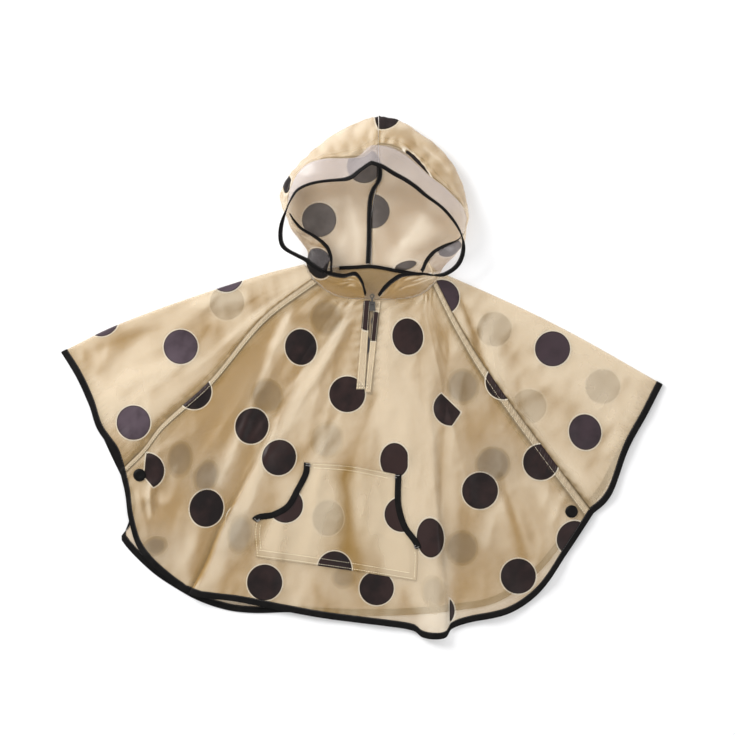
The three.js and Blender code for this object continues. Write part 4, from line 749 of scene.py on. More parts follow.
def mix_node(tree, kind, sockets, result, values):
    """A mix of two values by a factor, each of them a number, a colour or another node's output."""
    made = tree.nodes.new("ShaderNodeMix")
    made.data_type = kind
    for socket, value in zip(sockets, values):
        if isinstance(value, tuple):
            made.inputs[socket].default_value = (*value, 1.0)
        elif isinstance(value, float):
            made.inputs[socket].default_value = value
        else:
            tree.links.new(value, made.inputs[socket])
    return made.outputs[result]


def colour_mix(tree, factor, first, second):
    return mix_node(tree, "RGBA", (0, 6, 7), 2, (factor, first, second))


def number_mix(tree, factor, first, second):
    return mix_node(tree, "FLOAT", (0, 2, 3), 0, (factor, first, second))


def coordinates(tree, scale):
    place = tree.nodes.new("ShaderNodeTexCoord")
    mapping = tree.nodes.new("ShaderNodeMapping")
    mapping.inputs["Scale"].default_value = scale
    tree.links.new(place.outputs["Object"], mapping.inputs["Vector"])
    return mapping.outputs["Vector"]


def noise(tree, scale, detail, stretch=(1.0, 1.0, 1.0)):
    made = node(tree, "ShaderNodeTexNoise", Scale=scale, Detail=detail)
    tree.links.new(coordinates(tree, stretch), made.inputs["Vector"])
    return made.outputs["Fac"]


def weave(tree, pitch):
    """A plain weave's height: two sets of threads, pitch apart in metres."""
    threads = []
    for axis in (0, 1):
        made = node(tree, "ShaderNodeTexWave", Scale=1.0)
        made.bands_direction = "XY"[axis]
        made.wave_type = "BANDS"
        stretch = [0.0, 0.0, 0.0]
        stretch[axis] = 0.31416 / pitch
        tree.links.new(coordinates(tree, tuple(stretch)), made.inputs["Vector"])
        threads.append(made.outputs["Fac"])
    return math_node(tree, "ADD", *threads)


def bump(tree, height, strength, distance, below=None):
    made = node(tree, "ShaderNodeBump", Strength=strength, Distance=distance)
    tree.links.new(height, made.inputs["Height"])
    if below is not None:
        tree.links.new(below, made.inputs["Normal"])
    return made.outputs["Normal"]


def scaled(tree, value, share):
    return math_node(tree, "MULTIPLY", value, share)


def cloth_material(name, dot_light, dot_deep, gloss=0.30, ringed=0.85, blur=1.0):
    """Thin coated cloth, printed with dots that the piece's own attributes place and colour, its tone also
    carrying painted shade and painted light.

    Ringed is how clearly a pale ring shows round each dot, and blur how soft the dots' edges are.
    """
    material, tree, shader = blank_material(name)
    edge = attribute(tree, "dot")
    tone = attribute(tree, "tone")
    cloudy = scaled(tree, noise(tree, 16.0, 3.0, (1.0, 0.45, 1.0)), 0.2)
    # The tone deepens cream towards tan: partly the cloth's own uneven colour, partly painted shade in folds
    # and hollows and painted light on rises
    depth_and_shade = spread(tree, math_node(tree, "ADD", tone, cloudy), 0.0, 1.15)
    cloth = colour_mix(tree, depth_and_shade, CREAM_LIGHT, CREAM_DEEP)
    cloth = colour_mix(tree, scaled(tree, attribute(tree, "contact"), 0.35), cloth, CONTACT_GREY)
    # Towards seam brown by the seam value: real seam layers and joins, and painted shadow beside raised seams
    # and folds
    cloth = colour_mix(tree, attribute(tree, "seam"), cloth, SEAM_AND_SHADOW_BROWN)
    if ringed:
        ring = math_node(tree, "MULTIPLY", spread(tree, edge, 0.1, 0.5), spread(tree, edge, 2.2, 1.0))
        cloth = colour_mix(tree, scaled(tree, ring, ringed), cloth, HALO)
    # The print deepens with the tone, so the painted shade of folds falls on the dots too, with random
    # mottling
    print_mottle_and_shade = spread(tree, math_node(tree, "ADD", tone, noise(tree, 60.0, 2.0)), 0.45, 1.5)
    print_colour = colour_mix(tree, print_mottle_and_shade, dot_light, dot_deep)
    print_colour = colour_mix(tree, spread(tree, edge, -1.8, -0.5), print_colour, dot_deep)
    printed = spread(tree, edge, 0.25 * blur, -0.25 * blur)
    tree.links.new(colour_mix(tree, printed, cloth, print_colour), shader.inputs["Base Color"])
    sheer = math_node(tree, "ADD", scaled(tree, attribute(tree, "contact"), -CONTACT_ALPHA), CLOTH_ALPHA)
    opaque = number_mix(tree, printed, sheer, PRINT_ALPHA)
    layered = math_node(tree, "ADD", opaque, scaled(tree, attribute(tree, "seam"), 0.5))
    tree.links.new(math_node(tree, "MINIMUM", layered, 1.0), shader.inputs["Alpha"])
    crinkle = bump(tree, noise(tree, 28.0, 3.0), 0.14, 0.004)
    tree.links.new(bump(tree, weave(tree, 0.0006), 0.03, 0.00015, crinkle), shader.inputs["Normal"])
    rough = spread(tree, noise(tree, 30.0, 2.0), 0.2, 0.8, 0.30, 0.44)
    tree.links.new(rough, shader.inputs["Roughness"])
    shader.inputs["Specular IOR Level"].default_value = gloss
    shader.inputs["Sheen Weight"].default_value = 0.08
    shader.inputs["Sheen Roughness"].default_value = 0.4
    return material


def binding_material(name):
    material, tree, shader = blank_material(name)
    fade = spread(tree, noise(tree, 90.0, 3.0), 0.3, 0.8)
    worn = tuple(2.0 * v for v in BINDING)
    tree.links.new(colour_mix(tree, fade, BINDING, worn), shader.inputs["Base Color"])
    soft = bump(tree, noise(tree, 120.0, 3.0), 0.35, 0.001)
    tree.links.new(bump(tree, weave(tree, 0.0008), 0.3, 0.0002, soft), shader.inputs["Normal"])
    shader.inputs["Roughness"].default_value = 0.55
    shader.inputs["Specular IOR Level"].default_value = 0.10
    return material


def film_material(name):
    material, tree, shader = blank_material(name)
    haze = noise(tree, 22.0, 2.0)
    dull = tuple(0.94 * v for v in VISOR)
    tree.links.new(colour_mix(tree, haze, VISOR, dull), shader.inputs["Base Color"])
    cover = spread(tree, haze, 0.2, 0.8, 0.16, 0.25)
    tree.links.new(math_node(tree, "MULTIPLY", cover, attribute(tree, "haze")), shader.inputs["Alpha"])
    tree.links.new(bump(tree, noise(tree, 35.0, 3.0), 0.2, 0.003), shader.inputs["Normal"])
    shader.inputs["Roughness"].default_value = 0.16
    shader.inputs["Specular IOR Level"].default_value = 0.55
    return material


def plain_material(name, colour, roughness, grain, metallic=0.0, gloss=0.5):
    material, tree, shader = blank_material(name)
    rub = spread(tree, noise(tree, grain, 3.0), 0.35, 0.75)
    rubbed = tuple(min(1.35 * v, 1.0) for v in colour)
    tree.links.new(colour_mix(tree, rub, colour, rubbed), shader.inputs["Base Color"])
    tree.links.new(bump(tree, noise(tree, 2 * grain, 2.0), 0.12, 0.0003), shader.inputs["Normal"])
    shader.inputs["Roughness"].default_value = roughness
    shader.inputs["Metallic"].default_value = metallic
    shader.inputs["Specular IOR Level"].default_value = gloss
    return material


MATERIALS = {
    "outside": cloth_material("cloth_outside", PLUM_LIGHT, PLUM_DEEP, gloss=0.22),
    "inside": cloth_material("cloth_inside", DOT_INSIDE_LIGHT, DOT_INSIDE_DEEP),
    "side_left": cloth_material("side_cloth_left", SIDE_PLUM_LIGHT, SIDE_PLUM_DEEP),
    "side_right": cloth_material("side_cloth_right", RIGHT_PLUM_LIGHT, RIGHT_PLUM_DEEP),
    "back_inside": cloth_material(
        "back_cloth_inside", DOT_INSIDE_LIGHT, DOT_INSIDE_DEEP, ringed=0, blur=18.0
    ),
    "hood_outside": cloth_material("hood_cloth_outside", HOOD_PLUM_LIGHT, HOOD_PLUM_DEEP, gloss=0.22),
    "hood_inside": cloth_material("hood_cloth_inside", HOOD_INSIDE_LIGHT, HOOD_INSIDE_DEEP, ringed=0.15),
    "edge": plain_material("cloth_edge", EDGE, 0.6, 200.0),
    "binding": binding_material("binding_cloth"),
    "film": film_material("visor_film"),
    "thread_light": plain_material("thread_cream", THREAD_LIGHT, 0.6, 400.0),
    "thread_dark": plain_material("thread_dark", THREAD_DARK, 0.6, 400.0),
    "thread_grey": plain_material("thread_grey", THREAD_GREY, 0.6, 400.0),
    "zip": plain_material("zip_plastic", ZIP_COLOUR, 0.35, 300.0),
    "zip_metal": plain_material("zip_metal", ZIP_METAL, 0.28, 500.0, metallic=0.9),
    "snap": plain_material("snap_plastic", SNAP_COLOUR, 0.45, 250.0, gloss=0.12),
}


# Meshes


def make_mesh(name, vertices, faces, materials, slots=None, values=None):
    """A smooth mesh piece in metres from millimetre vertices, riding on the garment."""
    mesh = bpy.data.meshes.new(name)
    faces = np.asarray(faces, np.int32)
    corners = faces.shape[1]
    mesh.vertices.add(len(vertices))
    mesh.vertices.foreach_set("co", (np.asarray(vertices, np.float32) * MM).ravel())
    mesh.loops.add(faces.size)
    mesh.loops.foreach_set("vertex_index", faces.ravel())
    mesh.polygons.add(len(faces))
    mesh.polygons.foreach_set("loop_start", np.arange(0, faces.size, corners, dtype=np.int32))
    mesh.polygons.foreach_set("use_smooth", np.ones(len(faces), bool))
    for material in materials:
        mesh.materials.append(MATERIALS[material])
    if slots is not None:
        mesh.polygons.foreach_set("material_index", np.asarray(slots, np.int32))
    for label, value in (values or {}).items():
        layer = mesh.attributes.new(label, "FLOAT", "POINT")
        layer.data.foreach_set("value", np.asarray(value, np.float32).ravel())
    mesh.update(calc_edges=True)
    mesh.validate()
    piece = bpy.data.objects.new(name, mesh)
    bpy.context.collection.objects.link(piece)
    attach(piece, "garment")
    return piece


def stand_in(node_name):
    """Hide the solid of that name, for a new piece to take its place."""
    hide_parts(node_name)


def unit(ways):
    return ways / np.maximum(np.linalg.norm(ways, axis=-1, keepdims=True), 1e-9)


def grid_normals(points, facing):
    return facing * unit(np.cross(np.gradient(points, axis=1), np.gradient(points, axis=0)))


def lit(points, before, facing):
    """How much more a surface faces the main light than it did before its fine relief."""
    turned = grid_normals(points, facing) - grid_normals(before, facing)
    return turned @ (LIGHT_WAY / np.linalg.norm(LIGHT_WAY))


def wall_piece(name, points, facing, materials, values, thickness=CLOTH):
    """A thin closed shell on a grid of middle points: outer face, inner face and rim."""
    columns, rows = points.shape[:2]
    normal = grid_normals(points, facing)
    outer = points + normal * thickness / 2
    inner = points - normal * thickness / 2
    index = np.arange(columns * rows).reshape(columns, rows)
    a, b, c, d = index[:-1, :-1], index[:-1, 1:], index[1:, 1:], index[1:, :-1]
    face = np.stack([a, b, c, d], axis=-1).reshape(-1, 4)
    under = face[:, ::-1] + columns * rows
    ring = np.concatenate([index[0, :], index[1:, -1], index[-1, -2::-1], index[-2:0:-1, 0]])
    after = np.roll(ring, -1)
    rim = np.stack([after, ring, ring + columns * rows, after + columns * rows], axis=-1)
    faces = np.concatenate([face, under, rim])
    if facing < 0:
        faces = faces[:, ::-1]
    slots = np.concatenate([np.zeros(len(face)), np.ones(len(under)), np.full(len(rim), 2)])
    doubled = {label: np.tile(value.ravel(), 2) for label, value in values.items()}
    vertices = np.concatenate([outer.reshape(-1, 3), inner.reshape(-1, 3)])
    return make_mesh(name, vertices, faces, materials, slots, doubled)


def band_piece(name, path, across, width, thickness, closed=False):
    """A folded binding along a path: a rounded flat section, across wide, on its own normal."""
    count = len(path)
    across = unit(across)
    ahead = np.roll(path, -1, axis=0) - np.roll(path, 1, axis=0) if closed else np.gradient(path, axis=0)
    up = unit(np.cross(across, ahead))
    section = []
    sides = 16
    for k in range(sides):
        angle = 2 * math.pi * k / sides
        round_across = math.copysign(abs(math.cos(angle)) ** 0.45, math.cos(angle))
        round_up = math.copysign(abs(math.sin(angle)) ** 0.6, math.sin(angle))
        section.append((round_across * width / 2, round_up * thickness / 2))
    rings = np.stack([path + across * s + up * h for s, h in section], axis=1)
    index = np.arange(count * sides).reshape(count, sides)
    if closed:
        index = np.concatenate([index, index[:1]])
    wrap = np.concatenate([index, index[:, :1]], axis=1)
    a, b, c, d = wrap[:-1, :-1], wrap[1:, :-1], wrap[1:, 1:], wrap[:-1, 1:]
    faces = np.stack([a, b, c, d], axis=-1).reshape(-1, 4)
    vertices = rings.reshape(-1, 3)
    if not closed:
        first, last = len(vertices), len(vertices) + 1
        vertices = np.concatenate([vertices, path[[0, -1]]])
        start = [[first, index[0, k], index[0, (k + 1) % sides], first] for k in range(sides)]
        end = [[last, index[-1, (k + 1) % sides], index[-1, k], last] for k in range(sides)]
        triangles = np.array(start + end)[:, :3]
        quads = np.concatenate([faces[:, [0, 1, 2]], faces[:, [0, 2, 3]]])
        faces = np.concatenate([quads, triangles])
    a, b, c = (vertices[faces[:, corner]] for corner in range(3))
    if (a * np.cross(b, c)).sum() < 0:
        faces = faces[:, ::-1]
    return make_mesh(name, vertices, faces, ["binding"])


def resample(path, spacing):
    """Points at even steps along a path."""
    lengths = np.concatenate([[0], np.cumsum(np.linalg.norm(np.diff(path, axis=0), axis=1))])
    count = max(int(lengths[-1] / spacing), 2)
    at = np.linspace(0, lengths[-1], count)
    return np.stack([np.interp(at, lengths, path[:, k]) for k in range(3)], axis=-1)


def stitch_piece(name, runs, material, length=2.4, pitch=3.3, radius=0.28):
    """Sewing thread: short rounded stitches along each run, joined in one mesh."""
    sides = 6
    profile = [(-0.5, 0.25), (-0.38, 0.85), (0.0, 1.0), (0.38, 0.85), (0.5, 0.25)]
    vertices, faces = [], []
    for run in runs:
        places = resample(np.asarray(run, float), pitch)
        ahead = unit(np.gradient(places, axis=0))
        side = unit(np.cross(ahead, (0, 0, 1.0)))
        up = np.cross(side, ahead)
        for place, forward, right, over in zip(places[:-1], ahead, side, up):
            start = len(vertices)
            for along, share in profile:
                for k in range(sides):
                    angle = 2 * math.pi * k / sides
                    turn = right * math.cos(angle) + over * math.sin(angle)
                    vertices.append(place + forward * along * length + turn * radius * share)
            for ring in range(len(profile) - 1):
                for k in range(sides):
                    a = start + ring * sides + k
                    b = start + ring * sides + (k + 1) % sides
                    faces.append((a, b, b + sides, a + sides))
    return make_mesh(name, np.array(vertices), np.array(faces), [material])


# Front panel

front_plan = panel_plan(NECK_FRONT, HEM_FRONT, RAGLAN["left"], RAGLAN["right"])


def leaning(place, v):
    return place + LEAN["shift"] * bell(place - LEAN["place"], LEAN["reach"]) * (1 - v)


def front_width(v):
    gap = plan_point(RAGLAN["right"], v) - plan_point(RAGLAN["left"], v)
    return np.linalg.norm(gap, axis=-1)


def seam_height(v):
    return FRONT_HEM_Z + FRONT_NECK_RISE * (1 - v) ** 2


def overlap_growth(v):
    return smooth(OVERLAP["start"], 1, v)


def front_height(place, v):
    """The height of the front's middle surface, as its solid has it."""
    width = front_width(v)
    edge = smooth(0, 0.05, place) * smooth(0, 0.05, 1 - place)
    height = seam_height(v)
    for k in range(len(FRONT_RIDGES["place"])):
        grown = smooth(FRONT_RIDGES["start"][k], 1, v) * FRONT_RIDGES["height"][k]
        aside = (place - FRONT_RIDGES["place"][k]) * width
        height = height + edge * grown * bell(aside, FRONT_RIDGES["half_width"][k])
    pleat_width = np.where(place < PLEAT["place"], PLEAT["left_width"], PLEAT["right_width"])
    rise = PLEAT["height"] * smooth(PLEAT["start"], 0.8, v)
    height = height + rise * bell((place - PLEAT["place"]) * width, pleat_width)
    past = (place - OVERLAP["place"]) * width
    settled = OVERLAP_RISE * np.sqrt(overlap_growth(v)) * np.exp(-np.maximum(past, 0) / OVERLAP["settle"])
    height = height + np.where(past > 0, settled, 0)
    point = front_plan(leaning(place, v), v)
    for x, y in SNAPS.values():
        far = smooth(SNAP_LEVEL, SNAP_SPREAD, np.hypot(point[..., 0] - x, point[..., 1] - y))
        height = mix(SNAP_Z, height, far)
    return height


def front_puckers(place, v, y, from_slit):
    """The small puckers that sewing leaves beside the zip, the neck and the hem."""
    across = place * FRONT_SPAN
    near_zip = bell(np.maximum(from_slit - 12, 0), 9) * smooth(-34, -10, y) * smooth(9, 15, from_slit)
    zip_waves = np.sin(y / 2.1 + 1.3 * np.sin(y / 9.0))
    neck_waves = np.sin(place * front_width(v) / 2.6 + 2 * np.sin(place * 21))
    hem_waves = np.sin(across / 2.4 + 2 * np.sin(across / 17))
    neck = NECK_GATHER * bell(v, 0.035) * neck_waves * smooth(0, 0.02, v)
    return ZIP_PUCKER * near_zip * zip_waves + neck + HEM_PUCKER * bell(1 - v, 0.03) * hem_waves


def front_detail(place, v, x, y):
    """Finer folds than the solid's: ripples that run from the neck to the hem, creases, puckers."""
    width = front_width(v)
    across = place * FRONT_SPAN
    edge = smooth(0, 10, place * width) * smooth(0, 10, (1 - place) * width)
    clear = 1.0
    for snap_x, snap_y in SNAPS.values():
        clear = clear * smooth(*SNAP_CLEAR, np.hypot(x - snap_x, y - snap_y))
    radial = ripple(across, v * 60, 3, 75) * (0.5 + 1.3 * v) + 0.7 * ripple(across, v * 90, 4, 34) * v
    relief = 0.5 * radial + 0.5 * ripple(x, y, 5, 46) + 0.22 * ripple(x, y, 6, 17)
    relief = relief + creases(x, y, CREASES_FRONT) - FOLD_DEPTH * folds(x, y, FOLDS_FRONT)
    relief = relief + crumple(x, y, CRUMPLES_FRONT, 7)
    relief = relief + 1.2 * v * ridged(across, v * 70, 9, 62) + 0.5 * ridged(x, y, 10, 44)
    beside_seam = bell(place * width, 12) + bell((1 - place) * width, 12)
    seam_pucker = SEAM_PUCKER * beside_seam * np.sin(v * width.mean() / 1.6)
    relief = relief * edge * smooth(0, 0.06, 1 - v) + seam_pucker
    return relief * clear + front_puckers(place, v, y, np.abs(x - slit_x(y)))


def front_tone(place, v, x, y):
    """How deep the front's cloth looks at each point, from 0 to 1, with painted shade and painted light from
    its folds.
    """
    uneven = 0.06 * ripple(place * FRONT_SPAN, v * 60, 11, 80) + 0.05 * ripple(x, y, 12, 30)
    from_fold = (place - OVERLAP["place"]) * front_width(v)
    grown = overlap_growth(v)
    # Beside the overlap fold: painted shadow on the lower layer to its left, and a painted highlight along
    # the upper layer's edge to its right
    hollow = 0.30 * bell(np.minimum(from_fold + 4, 0), 17) * (from_fold < -1)
    crest = 0.42 * bell(np.maximum(from_fold - 4, 0), 13) * (from_fold >= -1)
    laid = FOLD_TONE * folds(x, y, FOLDS_FRONT) + shades(x, y, SHADES["front"])
    return np.clip(FRONT_TONE + laid + uneven + grown * (hollow - crest), 0, 1)


def slit_x(y):
    return mix(ZIP["top_x"], ZIP["bottom_x"], (ZIP["top_y"] - y) / (ZIP["top_y"] - ZIP["bottom_y"]))


def front_grid(rows):
    """Middle points of the front panel with the place of each column, its distance down and its layer."""
    v = np.linspace(0, 1, rows)[None, :]
    fold_at = np.linspace(0, OVERLAP_SECTION["at"][-1], 30)
    beside_seam = np.array(SEAM_COLUMNS)[:, None] / front_width(v)
    shares = np.linspace(LEFT_COLUMNS["first"], 1, LEFT_COLUMNS["count"])[:, None]
    left = np.concatenate([beside_seam, mix(beside_seam[-1:], LEFT_COLUMNS["to"], shares)])
    middle = np.concatenate([np.linspace(*run) for run in MIDDLE_COLUMNS])
    shares = np.linspace(0, RIGHT_COLUMNS["last"], RIGHT_COLUMNS["count"])[:, None]
    last = mix(RIGHT_COLUMNS["from"], 1 - beside_seam[-1:], shares)
    right = np.concatenate([middle[:, None] + 0 * v, last, 1 - beside_seam[::-1]])

    def plain(places):
        place = places + 0 * v
        down = v + 0 * place
        plan = front_plan(leaning(place, down), down)
        return plan, front_height(place, down), place, down

    place = np.full((len(fold_at), 1), OVERLAP["place"]) + 0 * v
    down = v + 0 * place
    before = front_plan(leaning(place - 0.01, down), down)
    after = front_plan(leaning(place + 0.01, down), down)
    step = (after - before) / np.linalg.norm(after - before, axis=-1, keepdims=True)
    growth = overlap_growth(down)
    flat = read(OVERLAP_SECTION, fold_at, "flat")[:, None] * front_width(down) / front_width(np.array(1.0))
    offset = mix(flat, read(OVERLAP_SECTION, fold_at, "across")[:, None], growth)
    fold_plan = front_plan(leaning(place, down), down) + step * offset[..., None]
    lifted = read(OVERLAP_SECTION, fold_at, "up")[:, None] * np.sqrt(growth)
    fold_height = front_height(place - 1e-6, down) + lifted
    fold_place = place + offset / front_width(down)
    parts = [plain(left), (fold_plan, fold_height, fold_place, down), plain(right)]
    plan, height, place, down = (np.concatenate(column) for column in zip(*parts))
    layer = np.concatenate([np.zeros(len(left)), fold_at / fold_at[-1], np.ones(len(right))])[:, None] + 0 * v
    return np.concatenate([plan, height[..., None]], axis=-1), place, down, layer


def soft_tone(x, y, seed, middle, rows=None):
    """How deep a piece of cloth looks, from 0 to 1: uneven, with painted shade and painted light from its own
    folds where it has them.
    """
    tone = middle + 0.14 * ripple(x, y, seed, 90) + 0.07 * ripple(x, y, seed + 1, 28)
    return np.clip(tone if rows is None else tone + FOLD_TONE * folds(x, y, rows), 0, 1)


front_points, front_place, front_down, front_layer = front_grid(FRONT_ROWS)
detail = front_detail(front_place, front_down, front_points[..., 0], front_points[..., 1])
fold_zone = 1 - bell(front_layer - 0.5, 0.32) * overlap_growth(front_down)
front_plain = front_points.copy()
front_points[..., 2] += detail * fold_zone
front_points[..., 2] = np.maximum(front_points[..., 2], FRONT_LOWEST)
front_lit = lit(front_points, front_plain, 1)


def front_dots(x, y, layer):
    lower = dot_edge(x, y, DOTS_FRONT_LEFT, SNAP_DOT_CUTS)
    upper = dot_edge(x, y, DOTS_FRONT, DOT_CUTS)
    return np.where(layer < 0.55, lower, upper)


front_x, front_y = front_points[..., 0], front_points[..., 1]
from_seam = np.minimum(front_place, 1 - front_place) * front_width(front_down)
seam_shade = 0.75 * (1 - smooth(8.0, 13.0, from_seam)) + 0.35 * bell(front_down, 0.02)
fold_shade = 0.55 * bell(front_layer - 0.16, 0.10) * overlap_growth(front_down)
front_values = {
    "dot": front_dots(front_x, front_y, front_layer),
    "tone": np.clip(front_tone(front_place, front_down, front_x, front_y) - LIT_GAIN * front_lit, 0, 1),
    "seam": np.maximum(seam_shade, fold_shade),
    "contact": contact(front_x, front_y) * (from_seam > 12),
}
front_cloth = wall_piece("front_cloth", front_points, 1, ["outside", "inside", "edge"], front_values)
stand_in("front_panel")

# Felled raglan seams, on the edges of the front panel


def fell_points(side, distances, rows, lift):
    """Points beside a raglan seam at distances from it, raised by lift(distance, length, share down)."""
    v = np.linspace(0.002, 0.995, rows)[None, :]
    away = np.asarray(distances, float)[:, None]
    place = away / front_width(v)
    place = place if side == "left" else 1 - place
    down = v + 0 * place
    plan = front_plan(leaning(place, down), down)
    z = front_height(place, down) + front_detail(place, down, plan[..., 0], plan[..., 1])
    seam = plan_point(RAGLAN[side], v[0])
    along = np.concatenate([[0], np.cumsum(np.linalg.norm(np.diff(seam, axis=0), axis=-1))])
    z = np.maximum(z, FRONT_LOWEST) + lift(away, along[None, :], down)
    return np.concatenate([plan, z[..., None]], axis=-1)


def fell_lift(side):
    """The raised section of a felled seam, twisted like rope where the cloth pulls."""

    def lift(away, along, v):
        crown = 0.55 + 1.35 * np.sin(math.pi * np.clip(away / FELL_WIDTH, 0.02, 0.98)) ** 0.6
        groove = 0.3 * bell(away - FELL_STITCH, 0.7)
        rope = 0.18 + (0.45 * smooth(0.4, 0.5, v) * smooth(0.03, 0.1, 1 - v) if side == "right" else 0.08 * v)
        twist = np.sin(2 * math.pi * (along - 0.85 * away) / 4.7 + 0.7 * np.sin(along / 19))
        return crown - groove + rope * twist * smooth(0.2, 1.6, away)

    return lift


def fell_cloth(side):
    distances = np.linspace(0, FELL_WIDTH, FELL_COLUMNS)
    points = fell_points(side, distances, 480, fell_lift(side))
    x, y = points[..., 0], points[..., 1]
    away = distances[:, None] + 0 * x
    # The fell stays paler than the panel as painted light on its raised crest; its edges and stitch groove
    # are darker, real seam lines with painted shadow beside the ridge
    joins_and_shadows = bell(away, 1.5) + 0.3 * bell(away - FELL_STITCH, 0.8) + 0.9 * bell(away - FELL_WIDTH, 1.4)
    values = {
        "dot": front_dots(x, y, np.full(x.shape, 0.0 if side == "left" else 1.0)),
        "tone": np.clip(FELL_TONE + 0.10 * ripple(x, y, 15, 40), 0, 1),
        "seam": np.clip(joins_and_shadows, 0, 1),
    }
    materials = ["outside", "inside", "edge"]
    fell = wall_piece(f"raglan_fell_{side}", points, -HAND[side], materials, values)
    return fell


fells = [fell_cloth(side) for side in HAND]

# Back panel

BACK_RAGLAN = {
    side: straight(*((edge["x"][end], edge["y"][end]) for edge in (NECK_BACK, HEM_BACK)))
    for side, end in (("left", 0), ("right", -1))
}
back_plan = panel_plan(NECK_BACK, HEM_BACK, BACK_RAGLAN["left"], BACK_RAGLAN["right"])
back_u = np.linspace(0, 1, 150)[:, None]
back_v = np.linspace(0, 1, 100)[None, :]
back_xy = back_plan(back_u, back_v)
back_x, back_y = back_xy[..., 0], back_xy[..., 1]
back_z = BACK_Z + 0.25 * (1 + ripple(back_x, back_y, 21, 60)) * smooth(0, 0.05, 1 - back_v)
back_points = np.stack([back_x, back_y, back_z], axis=-1)
neck_shade = bell(np.hypot(back_x - 12, (back_y - 143) * 1.6), 44)
back_cloth = wall_piece(
    "back_cloth",
    back_points,
    1,
    ["back_inside", "outside", "edge"],
    {
        "dot": dot_edge(back_x, back_y, DOTS_BACK),
        "tone": np.clip(soft_tone(back_x, back_y, 31, BACK_TONE) + neck_shade, 0, 1),
        "seam": 0.55 * neck_shade,
    },
)
stand_in("back_panel")

# Side panels


def side_height(w, v):
    height = mix(seam_height(v), SHOULDER_Z, smooth(0, 1, w))
    for k in range(len(SIDE_RIDGES["place"])):
        room = smooth(0, 0.12, w) * smooth(0, 0.1, 1 - w)
        grown = SIDE_RIDGES["height"][k] * smooth(SIDE_RIDGES["start"][k], 1, v)
        aside = w - SIDE_RIDGES["place"][k]
        height = height + room * grown * bell(aside, SIDE_RIDGES["half_width"][k])
    return height


def side_grid(side, rows, front_columns=84, back_columns=40, fold_steps=14):
    """Middle points from the front raglan seam over the shoulder fold to the back raglan seam.

    With them, each column's mark (0 front seam, 1 to 2 the fold, 3 back seam) and the share down.
    """
    raglan, shoulder, back = RAGLAN[side], SHOULDER[side], BACK_RAGLAN[side]
    ends = [(source["x"][0], source["y"][0]) for source in (raglan, shoulder, back)]
    front_half = panel_plan(straight(ends[0], ends[1]), SIDE_HEM[side], raglan, shoulder)
    back_half = panel_plan(straight(ends[2], ends[1]), BACK_SIDE_HEM[side], back, shoulder)
    v = np.linspace(0, 1, rows)
    ahead = plan_point(shoulder, np.minimum(v + 0.02, 1)) - plan_point(shoulder, np.maximum(v - 0.02, 0))
    inward = np.stack([ahead[:, 1], -ahead[:, 0]], axis=-1)
    inward = HAND[side] * inward / np.linalg.norm(inward, axis=-1, keepdims=True) * SHOULDER_RADIUS
    columns = []
    marks = []
    for w in np.linspace(0, 1, front_columns):
        plan = front_half(np.full(rows, w), v) + inward * w
        columns.append(np.column_stack([plan, side_height(w, v)]))
        marks.append(w)
    for k in range(1, fold_steps):
        angle = math.pi / 2 - math.pi * k / fold_steps
        plan = plan_point(shoulder, v) + inward * (1 - math.cos(angle))
        height = BACK_Z + SHOULDER_RADIUS * (1 + math.sin(angle))
        columns.append(np.column_stack([plan, np.full(rows, height)]))
        marks.append(1 + k / fold_steps)
    for w in np.linspace(1, 0, back_columns):
        plan = back_half(np.full(rows, w), v) + inward * w
        columns.append(np.column_stack([plan, np.full(rows, BACK_Z)]))
        marks.append(3 - w)
    mark, down = np.meshgrid(marks, v, indexing="ij")
    return np.array(columns), mark, down


def side_cloth(side):
    """One side panel's cloth, made. Its middle points are given back."""
    hand = HAND[side]
    points, mark, v = side_grid(side, SIDE_ROWS)
    x, y = points[..., 0], points[..., 1]
    across = mark * 190
    hem_wave = np.abs(np.sin(mark * 62 + 1.5 * np.sin(mark * 23)))
    relief = 0.6 * ripple(across, v * 60, 41 + hand, 60) * (0.4 + v) + 0.4 * ripple(x, y, 43, 30)
    relief = relief + creases(x, y, CREASES_SIDE[side]) - FOLD_DEPTH * folds(x, y, FOLDS_SIDE[side])
    relief = relief + crumple(x, y, CRUMPLES_SIDE[side], 45 + hand)
    relief = relief + 0.5 * v * ridged(across, v * 80, 47 + hand, 70) + 0.5 * ridged(x, y, 49, 60)
    relief = relief + SIDE_HEM_FOLD * bell(1 - v, 0.05) * hem_wave
    room = smooth(0, 0.06, mark) * smooth(0, 0.08, 1 - mark) * smooth(0, 0.05, 1 - v)
    pucker = SIDE_PUCKER * bell(mark, 0.05) * np.sin(v * 190)
    plain = points.copy()
    upper = np.maximum(points[..., 2] + room * relief + pucker, FRONT_LOWEST)
    points[..., 2] = np.where(mark < 1, upper, points[..., 2])
    shadow = np.clip(0.75 + 0.5 * ripple(x, y, 57, 12), 0.1, 1) * bell(mark, SEAM_SHADOW[side])
    shadow = shadow * (mark < 1.5)
    tone = soft_tone(x, y, 51 + hand, SIDE_TONE, FOLDS_SIDE[side]) + shades(x, y, SHADES[side])
    # The seam value darkens beside the raglan seam as painted shadow and between the hem's puckers as painted
    # shade
    values = {
        "dot": np.where(mark < 1.5, dot_edge(x, y, DOTS_SIDE[side]), dot_edge(x, y, DOTS_BACK)),
        "tone": np.clip(tone + 0.7 * shadow - LIT_GAIN * lit(points, plain, hand), 0, 1),
        "seam": shadow + 0.5 * bell(1 - v, 0.03) * (1 - np.sqrt(hem_wave)),
    }
    cloth = wall_piece(f"side_cloth_{side}", points, hand, [f"side_{side}", "inside", "edge"], values)
    stand_in(f"side_panel_{side}")
    return points


side_points = {side: side_cloth(side) for side in HAND}

# Hem binding


